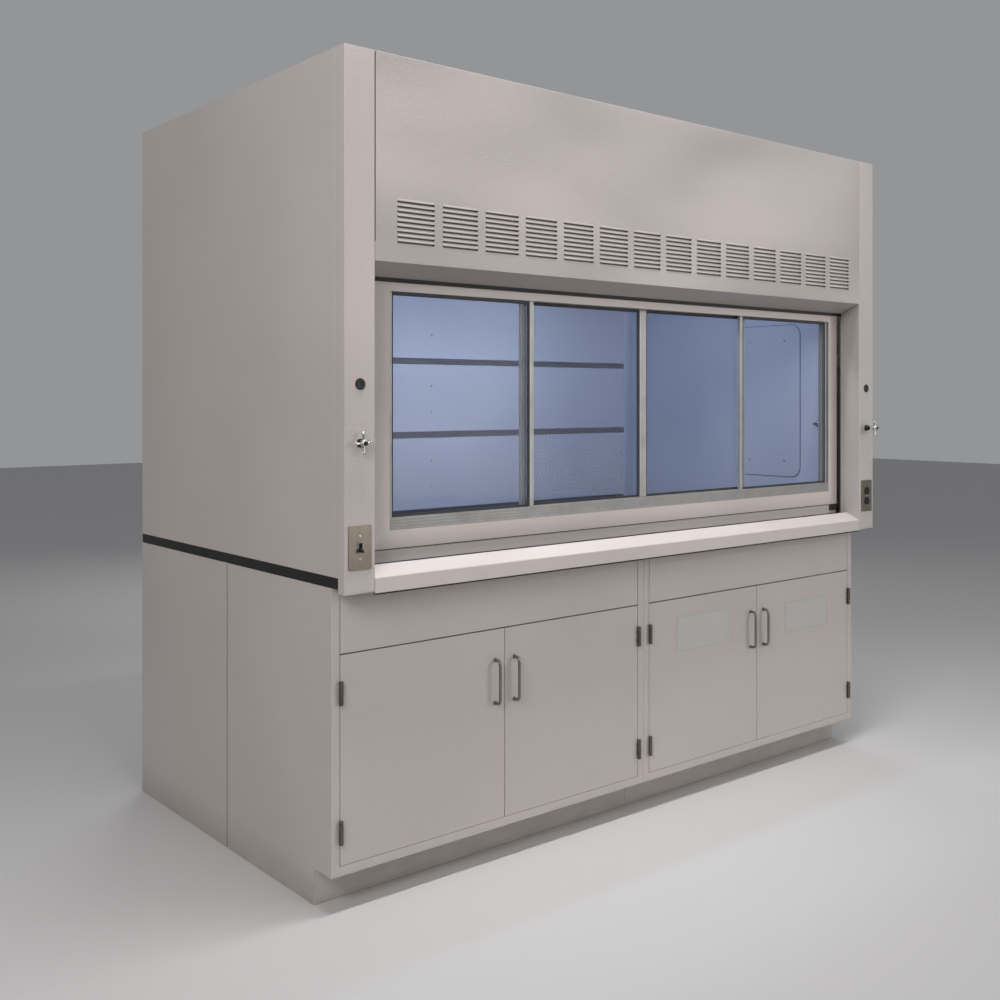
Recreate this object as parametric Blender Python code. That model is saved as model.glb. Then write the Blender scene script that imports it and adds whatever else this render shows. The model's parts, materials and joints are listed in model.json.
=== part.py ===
"""Walk-up fume hood on two base cabinets: one named object for each physical piece.

Metres, +Z up. X runs to the right and Y to the back, the front faces -Y. The origin is on the
floor, under the middle of the whole hood.
"""
import bpy
import bmesh
from math import atan2, cos, degrees, radians, sin, tau
from mathutils import Matrix, Vector

# Whole hood
hood_width = 2.438
hood_depth = 1.320          # front of the posts to the back of the side panels
hood_top = 2.290
gap = 0.0003                # kept between pieces that touch
sheet = 0.002               # painted steel of the upper body
thin_sheet = 0.0015         # painted steel of the base cabinets

# Worktop
worktop_top = 0.896
worktop_thickness = 0.030
worktop_bottom = worktop_top - worktop_thickness
base_top = worktop_bottom - gap
worktop_setback = 0.031     # front edge, behind the posts' face
dish_depth = 0.008
dish_margin = 0.015         # from the liners
dish_front = 0.165
dish_rear = hood_depth - 0.135

# Corner posts and side panels
post_width = 0.095
post_bottom = worktop_top - 0.041
post_side_return = 0.049
post_inner_return = 0.084
side_flange = 0.030

# Front panel and its louvres
panel_bottom = hood_top - 0.557
undercut_bottom = hood_top - 0.590
undercut_depth = 0.083
panel_top_flange = 0.025
louvre_rows = 9
louvre_pitch_x = 0.1524
louvre_groups = int((hood_width - 2 * post_width) / louvre_pitch_x)
louvre_pitch_z = 0.0136
louvre_width = 0.125
louvre_slot = 0.006
louvre_lowest = hood_top - 0.502

# Airfoil sill
airfoil_bottom = worktop_top - 0.046
airfoil_front_top = worktop_top - 0.004
airfoil_crest = worktop_top + 0.022
airfoil_depth = 0.053
airfoil_flange = 0.012
airfoil_curl = 0.006

# Sash frame
sash_inset = 0.1175         # side edge of the sash, in from the side of the hood
sash_front = 0.0865
sash_depth = 0.047
sash_bottom = worktop_top + 0.019
sash_top = undercut_bottom - 0.010
sash_lip_top = sash_bottom + 0.0365
sash_lip_setback = 0.004
sash_track_bottom = sash_bottom + 0.087
sash_track_setback = 0.002
sash_open_inset = 0.1725
sash_open_bottom = sash_bottom + 0.121
sash_open_top = sash_top - 0.025
sash_wall = 0.002
track_depth_low = 0.025     # how far the panes run down into the bottom rail
track_depth_high = 0.016
track_depth_side = 0.010
track_width = 0.014
track_front = 0.0995        # middle planes of the two tracks
track_rear = 0.1190
sash_travel = 0.560

# Panes
pane_lap = 0.067            # the four panes together, over the width of the opening
pane_width = (hood_width - 2 * sash_open_inset + pane_lap) / 4
pane_thickness = 0.012
pane_shift = 0.0235         # the panes rest a little to the right
pane_seam = 0.0005
pane_end_lap = 0.004        # first and last pane, into the stiles of the sash
pane_stile = 0.016
pane_bottom_rail = 0.028
pane_top_rail = 0.022
pane_play = 0.001           # to the floor and roof of a track
glass_thickness = 0.006

# Counterbalance
cable_inset = 0.085
cable_radius = 0.002
cable_bore = 0.003
pulley_radius = 0.050
pulley_groove = 0.0445
cable_bend = 0.047
pulley_width = 0.014
pulley_height = hood_top - 0.100
pulley_groove_mouth = 0.0098
pulley_groove_floor = 0.0042
axle_radius = 0.006
axle_bore = 0.0065
bracket_thickness = 0.010
bracket_reach = 0.040
ear_top = sash_top - 0.150
ear_bottom = ear_top - 0.040
ear_reach = 0.070           # tip of the sash ear, in from the side of the hood
ear_thickness = 0.018
weight_top = pulley_height - 0.100
weight_height = sash_travel + 0.060
weight_width = 0.042
weight_depth = 0.060

# Chamber: heights of its panels are shares of its own height
liner_inset = 0.109
liner_thickness = 0.006
liner_front = 0.140
ceiling_top = hood_top - 0.184
chamber_height = ceiling_top - worktop_top
curtain_front = 0.155
curtain_bottom = undercut_bottom + 0.005
baffle_front = hood_depth - 0.120
baffle_side_gap = 0.003
baffle_bands = (("baffle_lower", 0.020, 0.256), ("baffle_middle", 0.277, 0.501))
baffle_upper_bottom = worktop_top + 0.521 * chamber_height
baffle_bend = worktop_top + 0.788 * chamber_height
baffle_upper_top = ceiling_top - 0.021
baffle_upper_lean = 0.340
access_front = 0.260        # distances behind the posts' face
access_rear = 0.590
access_bottom = worktop_top + 0.123 * chamber_height
access_top = worktop_top + 0.636 * chamber_height
access_corner = 0.040
access_lap = 0.030
access_thickness = 0.004

# Exhaust collar and light
collar_depth = hood_depth - 0.260
collar_radius = 0.1525
collar_flange_radius = 0.178
collar_top = hood_top + 0.060
exhaust_hole_radius = 0.150
light_length = 1.220
light_front = 0.300
light_width = 0.160
light_height = 0.075
light_bevel = 0.0375
light_window_margin = 0.035

# Fixtures on the posts
valve_height = worktop_top + 0.354
valve_inset = 0.0485
valve_reach_left = 0.030    # how far a handle stands out of the posts' face: shut
valve_reach_right = 0.052   # and open
valve_hub_radius = 0.011
valve_hub_length = 0.026
valve_arm_radius = 0.0045
valve_span = 0.060
valve_stem_radius = 0.006
valve_stem_tail = 0.030
plug_height = worktop_top + 0.509
plug_inset = 0.0485
plug_head_radius = 0.0155
plug_head_thickness = 0.003
plug_shank_radius = 0.0125
plug_shank_length = 0.010
hole_clearance = 0.0007
plate_inset = 0.0470
plate_width = 0.070
plate_thickness = 0.0025
switch_bottom = worktop_top + 0.022
switch_top = worktop_top + 0.138
toggle_slot_width = 0.010
toggle_slot_height = 0.024
toggle_reach = 0.016
toggle_pivot = 0.005
toggle_base_radius = 0.0030
toggle_tip_radius = 0.0036
toggle_width = 0.007
toggle_lean = radians(24)
outlet_bottom = worktop_top + 0.027
outlet_top = worktop_top + 0.149
receptacle_radius = 0.017
receptacle_offset = 0.0195
receptacle_rise = 0.0015

# Base cabinets
base_inset = 0.0504         # right end of the base, in from the side of the hood
cabinet_width = (hood_width - base_inset) / 2
cabinet_front = 0.065
cabinet_depth = 0.604
stile = 0.026
frame_depth = 0.026
toe_height = 0.098
toe_depth = 0.088
opening_bottom = 0.124
opening_top = worktop_bottom - 0.016
shelf_height = 0.400
shelf_thickness = 0.004
shelf_front = 0.300
door_top = opening_top - 0.165
door_thickness = 0.019
door_gap = 0.002
apron_bottom = door_top + 0.003
skin = 0.0012

# Hinges and pulls
hinge_radius = 0.006
hinge_standoff = 0.0065
hinge_height = 0.064
hinge_centres = (0.215, door_top - 0.100)
leaf_thickness = 0.0012
leaf_length = 0.0245
pull_radius = 0.0045
pull_spacing = 0.128
pull_reach = 0.0245
pull_corner = 0.012
pull_height = door_top - 0.153
pull_inset = 0.037

# Base frame behind the cabinets
rail_low = 0.100
rail_high = worktop_bottom - 0.096

# Derived places
half_width = hood_width / 2
front = (valve_reach_right - hood_depth) / 2    # Y of the posts' front face
rear = front + hood_depth
wall_rear = rear - sheet - gap              # rear face of the back panel
wall_front = wall_rear - liner_thickness
cabinet_face = front + cabinet_front
cable_plane = front + (track_front + track_rear) / 2    # the cables' front runs
sides = (("left", -1), ("right", 1))


def clear_scene():
    for item in list(bpy.data.objects):
        bpy.data.objects.remove(item)


def make_material(name, color, roughness, metallic=0.0, alpha=1.0):
    material = bpy.data.materials.new(name)
    material.use_nodes = True
    shader = material.node_tree.nodes["Principled BSDF"]
    shader.inputs["Base Color"].default_value = (*color, 1.0)
    shader.inputs["Roughness"].default_value = roughness
    shader.inputs["Metallic"].default_value = metallic
    shader.inputs["Alpha"].default_value = alpha
    material.diffuse_color = (*color, alpha)
    return material


clear_scene()
paint = make_material("warm_grey_paint", (0.43, 0.39, 0.37), 0.45)
liner = make_material("light_liner", (0.62, 0.64, 0.66), 0.55)
resin = make_material("black_resin", (0.027, 0.024, 0.022), 0.4)
aluminium = make_material("mill_aluminium", (0.42, 0.42, 0.40), 0.35, 1.0)
steel = make_material("brushed_steel", (0.50, 0.49, 0.47), 0.35, 1.0)
chrome = make_material("chrome", (0.75, 0.75, 0.75), 0.12, 1.0)
bronze = make_material("dark_hinge", (0.055, 0.045, 0.040), 0.45, 0.8)
plastic = make_material("black_plastic", (0.012, 0.012, 0.012), 0.4)
iron = make_material("cast_weight", (0.09, 0.09, 0.09), 0.7, 0.6)
glass = make_material("clear_glass", (0.80, 0.86, 0.90), 0.03, 0.0, 0.35)


def side_x(side, inset):
    """X of a place that is an inset in from the left (-1) or right (+1) side of the hood."""
    return side * (half_width - inset)


def span(*values):
    return min(values), max(values)


def add_object(name, mesh_builder, material, origin=(0, 0, 0), smooth=False):
    """Closes a bmesh into a named object whose origin is at the given place."""
    bmesh.ops.recalc_face_normals(mesh_builder, faces=mesh_builder.faces)
    bmesh.ops.translate(mesh_builder, vec=-Vector(origin), verts=mesh_builder.verts)
    mesh = bpy.data.meshes.new(name)
    mesh_builder.to_mesh(mesh)
    mesh_builder.free()
    if smooth:
        mesh.shade_smooth()
        mesh.set_sharp_from_angle(angle=radians(35))
    item = bpy.data.objects.new(name, mesh)
    item.location = origin
    bpy.context.collection.objects.link(item)
    if material:
        mesh.materials.append(material)
    return item


def box_into(mesh_builder, low, high):
    size = Vector(high) - Vector(low)
    middle = (Vector(high) + Vector(low)) / 2
    place = Matrix.Translation(middle) @ Matrix.Diagonal((*size, 1.0))
    bmesh.ops.create_cube(mesh_builder, size=1.0, matrix=place)


def add_box(name, material, x, y, z, origin=(0, 0, 0)):
    builder = bmesh.new()
    box_into(builder, (x[0], y[0], z[0]), (x[1], y[1], z[1]))
    return add_object(name, builder, material, origin)


def add_prism(name, material, outline, axis, start, end, origin=(0, 0, 0), smooth=False):
    """Extrudes an outline along X, Y or Z. Outline pairs are the other two axes in order."""
    builder = bmesh.new()
    corners = []
    for first, second in outline:
        place = {"X": (start, first, second), "Y": (first, start, second),
                 "Z": (first, second, start)}[axis]
        corners.append(builder.verts.new(place))
    face = builder.faces.new(corners)
    swept = bmesh.ops.extrude_face_region(builder, geom=[face])
    moved = [part for part in swept["geom"] if isinstance(part, bmesh.types.BMVert)]
    shift = Vector([end - start if letter == axis else 0 for letter in "XYZ"])
    bmesh.ops.translate(builder, vec=shift, verts=moved)
    return add_object(name, builder, material, origin, smooth)


def add_turned(name, material, profile, axis, centre, segments, origin=None):
    """Turns a closed (radius, height) profile about a line along X, Y or Z."""
    turn_axis = Vector([1.0 if letter == axis else 0.0 for letter in "XYZ"])
    out = Vector((0, 0, 1)) if axis != "Z" else Vector((1, 0, 0))
    builder = bmesh.new()
    ring = []
    for radius, height in profile:
        ring.append(builder.verts.new(Vector(centre) + out * radius + turn_axis * height))
    edges = []
    for index, corner in enumerate(ring):
        following = ring[(index + 1) % len(ring)]
        edges.append(builder.edges.new((corner, following)))
    bmesh.ops.spin(builder, geom=ring + edges, cent=centre, axis=turn_axis, angle=tau,
                   steps=segments, use_merge=True)
    bmesh.ops.remove_doubles(builder, verts=builder.verts, dist=0.00001)
    bmesh.ops.dissolve_degenerate(builder, edges=builder.edges, dist=0.00001)
    return add_object(name, builder, material, origin or centre, smooth=True)


def arc(centre, radius, start, end, steps):
    """Points on an arc, both ends included. Angles are in degrees."""
    points = []
    for step in range(steps + 1):
        angle = radians(start + (end - start) * step / steps)
        points.append((centre[0] + radius * cos(angle), centre[1] + radius * sin(angle)))
    return points


def bent_outline(line, thickness):
    """Closes an open line of points into a bent sheet that lies on the line's left side."""
    inner = []
    for index, point in enumerate(line):
        before = line[max(index - 1, 0)]
        after = line[min(index + 1, len(line) - 1)]
        arrive = Vector(point) - Vector(before) if index else Vector(after) - Vector(point)
        leave = Vector(after) - Vector(point) if point != after else arrive
        normal_in = Vector((-arrive.y, arrive.x)).normalized()
        normal_out = Vector((-leave.y, leave.x)).normalized()
        mitre = (normal_in + normal_out).normalized()
        reach = thickness / mitre.dot(normal_out)
        inner.append(tuple(Vector(point) + mitre * reach))
    return list(line) + inner[::-1]


def rounded_outline(low, high, radius, steps):
    points = []
    corners = ((high[0] - radius, high[1] - radius, 0), (low[0] + radius, high[1] - radius, 90),
               (low[0] + radius, low[1] + radius, 180), (high[0] - radius, low[1] + radius, 270))
    for x, y, start in corners:
        points += arc((x, y), radius, start, start + 90, steps)
    return points


def hide_helper(helper):
    helper.hide_render = True
    helper.display_type = "WIRE"


def combine(item, helper, operation):
    """Cuts a helper out of an object, or welds the helper onto it."""
    hide_helper(helper)
    modifier = item.modifiers.new(helper.name, "BOOLEAN")
    modifier.operation = operation
    modifier.object = helper
    modifier.solver = "EXACT"


def cut(item, helper):
    combine(item, helper, "DIFFERENCE")


def weld(item, helper):
    combine(item, helper, "UNION")


def cut_box(item, label, x, y, z):
    cut(item, add_box(f"{item.name}.{label}", None, x, y, z))


def weld_box(item, label, x, y, z):
    weld(item, add_box(f"{item.name}.{label}", None, x, y, z))


def cut_round(item, label, axis, centre, radius, length, segments=16):
    profile = ((0, -length / 2), (radius, -length / 2), (radius, length / 2), (0, length / 2))
    cut(item, add_turned(f"{item.name}.{label}", None, profile, axis, centre, segments))


def weld_rod(item, label, axis, centre, radius, length, segments=12):
    profile = ((0, -length / 2), (radius, -length / 2), (radius, length / 2), (0, length / 2))
    weld(item, add_turned(f"{item.name}.{label}", None, profile, axis, centre, segments))


def add_tube(name, material, points, radius, resolution):
    """A round bar or cable along a list of points."""
    curve = bpy.data.curves.new(name, "CURVE")
    curve.dimensions = "3D"
    curve.bevel_depth = radius
    curve.bevel_resolution = resolution
    curve.use_fill_caps = True
    spline = curve.splines.new("POLY")
    spline.points.add(len(points) - 1)
    for spline_point, place in zip(spline.points, points):
        spline_point.co = (*place, 1.0)
    curve.materials.append(material)
    item = bpy.data.objects.new(name, curve)
    bpy.context.collection.objects.link(item)
    return item


def build_worktop():
    x = (-half_width, half_width)
    y = (front + worktop_setback, wall_rear)
    worktop = add_box("worktop", resin, x, y, (worktop_bottom, worktop_top))
    margin = liner_inset + liner_thickness + dish_margin
    cut_box(worktop, "dish", (side_x(-1, margin), side_x(1, margin)),
            (front + dish_front, front + dish_rear),
            (worktop_top - dish_depth, worktop_top + dish_depth))


def build_side_panel(label, side):
    skin_y = front + post_side_return + gap
    line = [(side_x(side, side_flange), skin_y), (side_x(side, 0), skin_y),
            (side_x(side, 0), rear), (side_x(side, side_flange), rear)]
    inward = -sheet if side < 0 else sheet
    outline = bent_outline(line, inward)
    panel = add_prism(f"side_panel_{label}", paint, outline, "Z", worktop_top + gap, hood_top)
    pulley_y = cable_plane + cable_bend
    weld_box(panel, "bracket", span(side_x(side, sheet / 2), side_x(side, bracket_thickness)),
             (pulley_y - bracket_reach, pulley_y + bracket_reach),
             (pulley_height - bracket_reach, pulley_height + bracket_reach))
    axle_start = bracket_thickness - sheet
    axle_end = cable_inset + pulley_width
    weld_rod(panel, "axle", "X",
             (side_x(side, (axle_start + axle_end) / 2), pulley_y, pulley_height),
             axle_radius, axle_end - axle_start, 16)


def build_corner_post(label, side):
    line = [(side_x(side, 0), front + post_side_return), (side_x(side, 0), front),
            (side_x(side, post_width), front),
            (side_x(side, post_width), front + post_inner_return)]
    inward = sheet if side < 0 else -sheet
    post = add_prism(f"corner_post_{label}", paint, bent_outline(line, inward), "Z",
                     post_bottom, hood_top)
    cut_box(post, "worktop_notch",
            span(side_x(side, -sheet), side_x(side, post_width + sheet)),
            (front + worktop_setback - gap, front + post_inner_return + sheet),
            (post_bottom - sheet, worktop_top + gap))
    cut_round(post, "valve_hole", "Y", (side_x(side, valve_inset), front, valve_height),
              valve_stem_radius + hole_clearance, 4 * sheet)
    cut_round(post, "plug_hole", "Y", (side_x(side, plug_inset), front, plug_height),
              plug_shank_radius + hole_clearance, 4 * sheet)
    if label == "left":
        middle = (switch_bottom + switch_top) / 2
        x = side_x(side, plate_inset)
        cut_box(post, "switch_hole", (x - toggle_slot_width, x + toggle_slot_width),
                (front - sheet, front + 2 * sheet),
                (middle - toggle_slot_height, middle + toggle_slot_height))


def build_fixtures(label, side):
    x = side_x(side, valve_inset)
    reach = valve_reach_left if side < 0 else valve_reach_right
    hub_y = front - reach + valve_hub_length / 2
    pivot = (x, hub_y, valve_height)
    hub = ((0, -valve_hub_length / 2), (valve_hub_radius, -valve_hub_length / 2),
           (valve_hub_radius, valve_hub_length / 2), (0, valve_hub_length / 2))
    handle = add_turned(f"valve_handle_{label}", chrome, hub, "Y", pivot, 16)
    for axis in "XZ":
        weld_rod(handle, f"arms_{axis}", axis, pivot, valve_arm_radius, valve_span)
    stem_end = front + valve_stem_tail
    weld_rod(handle, "stem", "Y", (x, (hub_y + stem_end) / 2, valve_height),
             valve_stem_radius, stem_end - hub_y)

    head = -gap - plug_head_thickness
    profile = ((0, head), (plug_head_radius, head), (plug_head_radius, -gap),
               (plug_shank_radius, -gap), (plug_shank_radius, plug_shank_length),
               (0, plug_shank_length))
    add_turned(f"hole_plug_{label}", plastic, profile, "Y",
               (side_x(side, plug_inset), front, plug_height), 20)


def build_switch():
    x = side_x(-1, plate_inset)
    middle = (switch_bottom + switch_top) / 2
    plate = add_box("switch_plate", steel, (x - plate_width / 2, x + plate_width / 2),
                    (front - gap - plate_thickness, front - gap), (switch_bottom, switch_top))
    cut_box(plate, "slot", (x - toggle_slot_width / 2, x + toggle_slot_width / 2),
            (front - 2 * plate_thickness, front + plate_thickness),
            (middle - toggle_slot_height / 2, middle + toggle_slot_height / 2))
    pivot = (front + toggle_pivot, middle)
    length = toggle_pivot + toggle_reach
    tip = (pivot[0] - length * cos(toggle_lean), pivot[1] - length * sin(toggle_lean))
    turn = 180 + degrees(toggle_lean)
    outline = arc(tip, toggle_tip_radius, turn - 90, turn + 90, 6)
    outline += arc(pivot, toggle_base_radius, turn + 90, turn + 270, 6)
    add_prism("switch_toggle", plastic, outline, "X", x - toggle_width / 2, x + toggle_width / 2,
              origin=(x, *pivot), smooth=True)


def build_outlet():
    x = side_x(1, plate_inset)
    middle = (outlet_bottom + outlet_top) / 2
    plate = add_box("outlet_plate", steel, (x - plate_width / 2, x + plate_width / 2),
                    (front - gap - plate_thickness, front - gap), (outlet_bottom, outlet_top))
    face_y = front - gap - plate_thickness
    for label, offset in (("lower", -receptacle_offset), ("upper", receptacle_offset)):
        weld_rod(plate, f"receptacle_{label}", "Y", (x, face_y, middle + offset),
                 receptacle_radius, 2 * receptacle_rise, 20)


def build_front_panel():
    line = [(front + panel_top_flange, hood_top), (front, hood_top), (front, panel_bottom),
            (front + undercut_depth, undercut_bottom)]
    half = half_width - post_width - gap
    panel = add_prism("front_panel", paint, bent_outline(line, sheet), "X", -half, half)
    builder = bmesh.new()
    first_group = -(louvre_groups - 1) / 2 * louvre_pitch_x
    for group in range(louvre_groups):
        x = first_group + group * louvre_pitch_x
        for row in range(louvre_rows):
            z = louvre_lowest + row * louvre_pitch_z
            box_into(builder, (x - louvre_width / 2, front - sheet, z - louvre_slot / 2),
                     (x + louvre_width / 2, front + 2 * sheet, z + louvre_slot / 2))
    cut(panel, add_object("front_panel.louvres", builder, None))


def build_airfoil():
    line = [(front + airfoil_depth, airfoil_crest - airfoil_curl),
            (front + airfoil_depth, airfoil_crest), (front, airfoil_front_top),
            (front, airfoil_bottom), (front + airfoil_flange, airfoil_bottom)]
    half = half_width - post_width - gap
    add_prism("airfoil", paint, bent_outline(line, sheet), "X", -half, half)


def build_sash_frame():
    y_low = front + sash_front
    y_high = y_low + sash_depth
    half = half_width - sash_inset
    open_left = pane_shift + pane_end_lap - (half_width - sash_open_inset)
    open_right = half_width - sash_open_inset
    groove_left = open_left - track_depth_side
    groove_right = open_right + track_depth_side
    through = (y_low - sash_depth, y_high + sash_depth)
    groove_low = sash_open_bottom - track_depth_low
    groove_high = sash_open_top + track_depth_high
    frame = add_box("sash_frame", paint, (-half, half), (y_low, y_high), (sash_bottom, sash_top))
    cut_box(frame, "opening", (open_left, open_right), through,
            (sash_open_bottom, sash_open_top))
    for label, middle in (("front_track", track_front), ("rear_track", track_rear)):
        cut_box(frame, label, (groove_left, groove_right),
                (front + middle - track_width / 2, front + middle + track_width / 2),
                (groove_low, groove_high))
    cut_box(frame, "lip", (-half - sheet, half + sheet),
            (y_low - sheet, y_low + sash_lip_setback), (sash_bottom - sheet, sash_lip_top))
    cut_box(frame, "track_face", (open_left, open_right),
            (y_low - sheet, y_low + sash_track_setback), (sash_track_bottom, sash_open_bottom + sheet))
    cut_box(frame, "rail_hollow", (-half + sash_wall, half - sash_wall),
            (y_low + sash_lip_setback + sash_wall, y_high + sheet),
            (sash_bottom + sash_wall, groove_low - 2 * sash_wall))
    groove_ends = {-1: groove_left, 1: groove_right}
    for label, side in sides:
        cut_box(frame, f"stile_hollow_{label}",
                span(side * (half - sash_wall), groove_ends[side] + side * sash_wall),
                (y_low + sash_wall, y_high + sheet),
                (groove_low, sash_top - sash_wall))
        weld_box(frame, f"ear_{label}",
                 span(side_x(side, ear_reach), side_x(side, sash_inset + sash_wall / 2)),
                 (cable_plane - ear_thickness / 2, cable_plane + ear_thickness / 2),
                 (ear_bottom, ear_top))
        cut_round(frame, f"ear_bore_{label}", "Z",
                  (side_x(side, cable_inset), cable_plane, (ear_bottom + ear_top) / 2),
                  cable_bore, 2 * (ear_top - ear_bottom), 8)


def build_pane(number, left, track):
    x = (left, left + pane_width)
    y = (front + track - pane_thickness / 2, front + track + pane_thickness / 2)
    z = (sash_open_bottom - track_depth_low + pane_play,
         sash_open_top + track_depth_high - pane_play)
    ring = add_box(f"pane_frame_{number}", aluminium, x, y, z)
    hole_x = (x[0] + pane_stile, x[1] - pane_stile)
    hole_z = (z[0] + pane_bottom_rail, z[1] - pane_top_rail)
    cut_box(ring, "light", hole_x, (y[0] - pane_thickness, y[1] + pane_thickness), hole_z)
    middle = front + track
    add_box(f"pane_glass_{number}", glass, (hole_x[0] + gap, hole_x[1] - gap),
            (middle - glass_thickness / 2, middle + glass_thickness / 2),
            (hole_z[0] + gap, hole_z[1] - gap))


def build_counterbalance(label, side):
    x = side_x(side, cable_inset)
    pulley_y = cable_plane + cable_bend
    rear_y = pulley_y + cable_bend
    half = pulley_width / 2
    mouth = pulley_groove_mouth / 2
    floor = pulley_groove_floor / 2
    profile = ((axle_bore, -half), (pulley_radius, -half), (pulley_radius, -mouth),
               (pulley_groove, -floor), (pulley_groove, floor), (pulley_radius, mouth),
               (pulley_radius, half), (axle_bore, half))
    add_turned(f"pulley_{label}", plastic, profile, "X", (x, pulley_y, pulley_height), 24)

    weight = add_box(f"counterweight_{label}", iron,
                     (x - weight_width / 2, x + weight_width / 2),
                     (rear_y - weight_depth / 2, rear_y + weight_depth / 2),
                     (weight_top - weight_height, weight_top),
                     origin=(x, rear_y, weight_top - weight_height / 2))
    cut_round(weight, "cable_bore", "Z", (x, rear_y, weight_top - weight_height / 2),
              cable_bore, 2 * weight_height, 8)

    route = [(x, cable_plane, ear_bottom)]
    for y, z in arc((pulley_y, pulley_height), cable_bend, 180, 0, 12):
        route.append((x, y, z))
    route.append((x, rear_y, weight_top - weight_height))
    add_tube(f"sash_cable_{label}", steel, route, cable_radius, 2)


def build_liners():
    for label, side in sides:
        liner_panel = add_box(f"liner_{label}", liner,
                              span(side_x(side, liner_inset),
                                   side_x(side, liner_inset + liner_thickness)),
                              (front + liner_front, wall_front - gap),
                              (worktop_top + gap, ceiling_top))
        if label == "right":
            cut_box(liner_panel, "service_hole",
                    (side_x(side, liner_inset + 2 * liner_thickness), side_x(side, 0)),
                    (front + access_front + access_lap, front + access_rear - access_lap),
                    (access_bottom + access_lap, access_top - access_lap))
    face = side_x(1, liner_inset + liner_thickness + gap)
    outline = rounded_outline((front + access_front, access_bottom),
                              (front + access_rear, access_top), access_corner, 5)
    add_prism("access_panel", liner, outline, "X", face - access_thickness, face)


def build_back_and_ceiling():
    x = (side_x(-1, sheet + gap), side_x(1, sheet + gap))
    add_box("back_panel", liner, x, (wall_front, wall_rear), (worktop_top + gap, hood_top))
    half = half_width - liner_inset - liner_thickness - gap
    line = [(front + curtain_front, curtain_bottom), (front + curtain_front, ceiling_top),
            (wall_front - gap, ceiling_top)]
    ceiling = add_prism("ceiling_panel", liner, bent_outline(line, -liner_thickness), "X",
                        -half, half)
    cut_round(ceiling, "exhaust_hole", "Z", (0, front + collar_depth, ceiling_top),
              exhaust_hole_radius, 6 * liner_thickness, 32)
    margin = light_window_margin
    cut_box(ceiling, "light_window", (margin - light_length / 2, light_length / 2 - margin),
            (front + light_front + margin, front + light_front + light_width - margin),
            (ceiling_top - 2 * liner_thickness, ceiling_top + liner_thickness))


def build_baffles():
    half = half_width - liner_inset - liner_thickness - baffle_side_gap
    y = (front + baffle_front, front + baffle_front + liner_thickness)
    for name, low, high in baffle_bands:
        z = (worktop_top + low * chamber_height, worktop_top + high * chamber_height)
        add_box(name, liner, (-half, half), y, z)
    line = [(y[0], baffle_upper_bottom), (y[0], baffle_bend),
            (y[0] - baffle_upper_lean, baffle_upper_top)]
    add_prism("baffle_upper", liner, bent_outline(line, -liner_thickness), "X", -half, half)


def build_light_and_collar():
    base = ceiling_top + gap
    y_low = front + light_front
    y_high = y_low + light_width
    outer = [(y_low, base), (y_high, base), (y_high, base + light_bevel),
             (y_high - light_bevel, base + light_height),
             (y_low + light_bevel, base + light_height), (y_low, base + light_bevel)]
    half = light_length / 2
    light = add_prism("light_fixture", paint, outer, "X", -half, half)
    margin = light_window_margin
    cut_box(light, "lamp_space", (margin - half, half - margin), (y_low + margin, y_high - margin),
            (base - sheet, base + light_bevel))

    profile = ((collar_radius - sheet, base), (collar_flange_radius, base),
               (collar_flange_radius, base + sheet), (collar_radius, base + sheet),
               (collar_radius, collar_top), (collar_radius - sheet, collar_top))
    add_turned("exhaust_collar", steel, profile, "Z", (0, front + collar_depth, 0), 32)


def build_cabinet(label, left, first_door):
    right = left + cabinet_width - gap
    back = cabinet_face + cabinet_depth
    wall = thin_sheet
    inner_x = (left + wall, right - wall)
    floor = toe_height + wall
    body = add_box(f"cabinet_{label}", paint, (left, right), (cabinet_face, back), (0, base_top))
    cut_box(body, "toe_space", (left - wall, right + wall),
            (cabinet_face - wall, cabinet_face + toe_depth), (-wall, toe_height))
    cut_box(body, "plinth_space", inner_x, (cabinet_face + toe_depth + wall, back + wall),
            (wall, toe_height))
    shelf_y = cabinet_face + shelf_front
    inside_top = base_top - wall
    cut_box(body, "front_space", inner_x, (cabinet_face + frame_depth, shelf_y),
            (floor, inside_top))
    cut_box(body, "lower_space", inner_x, (shelf_y - frame_depth, back - wall),
            (floor, shelf_height - shelf_thickness))
    cut_box(body, "upper_space", inner_x, (shelf_y - frame_depth, back - wall),
            (shelf_height, inside_top))
    opening = (left + stile, right - stile)
    cut_box(body, "opening", opening, (cabinet_face - wall, cabinet_face + 2 * frame_depth),
            (opening_bottom, opening_top))

    apron = add_box(f"apron_panel_{label}", paint, (opening[0] + door_gap, opening[1] - door_gap),
                    (cabinet_face, cabinet_face + door_thickness),
                    (apron_bottom, opening_top - thin_sheet))
    cut_box(apron, "pan", (opening[0] + door_gap + skin, opening[1] - door_gap - skin),
            (cabinet_face + skin, cabinet_face + 2 * door_thickness),
            (apron_bottom + skin, opening_top - thin_sheet - skin))

    middle = (left + right) / 2
    build_door(first_door, opening[0], middle - door_gap / 2, -1)
    build_door(first_door + 1, middle + door_gap / 2, opening[1], 1)


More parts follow.
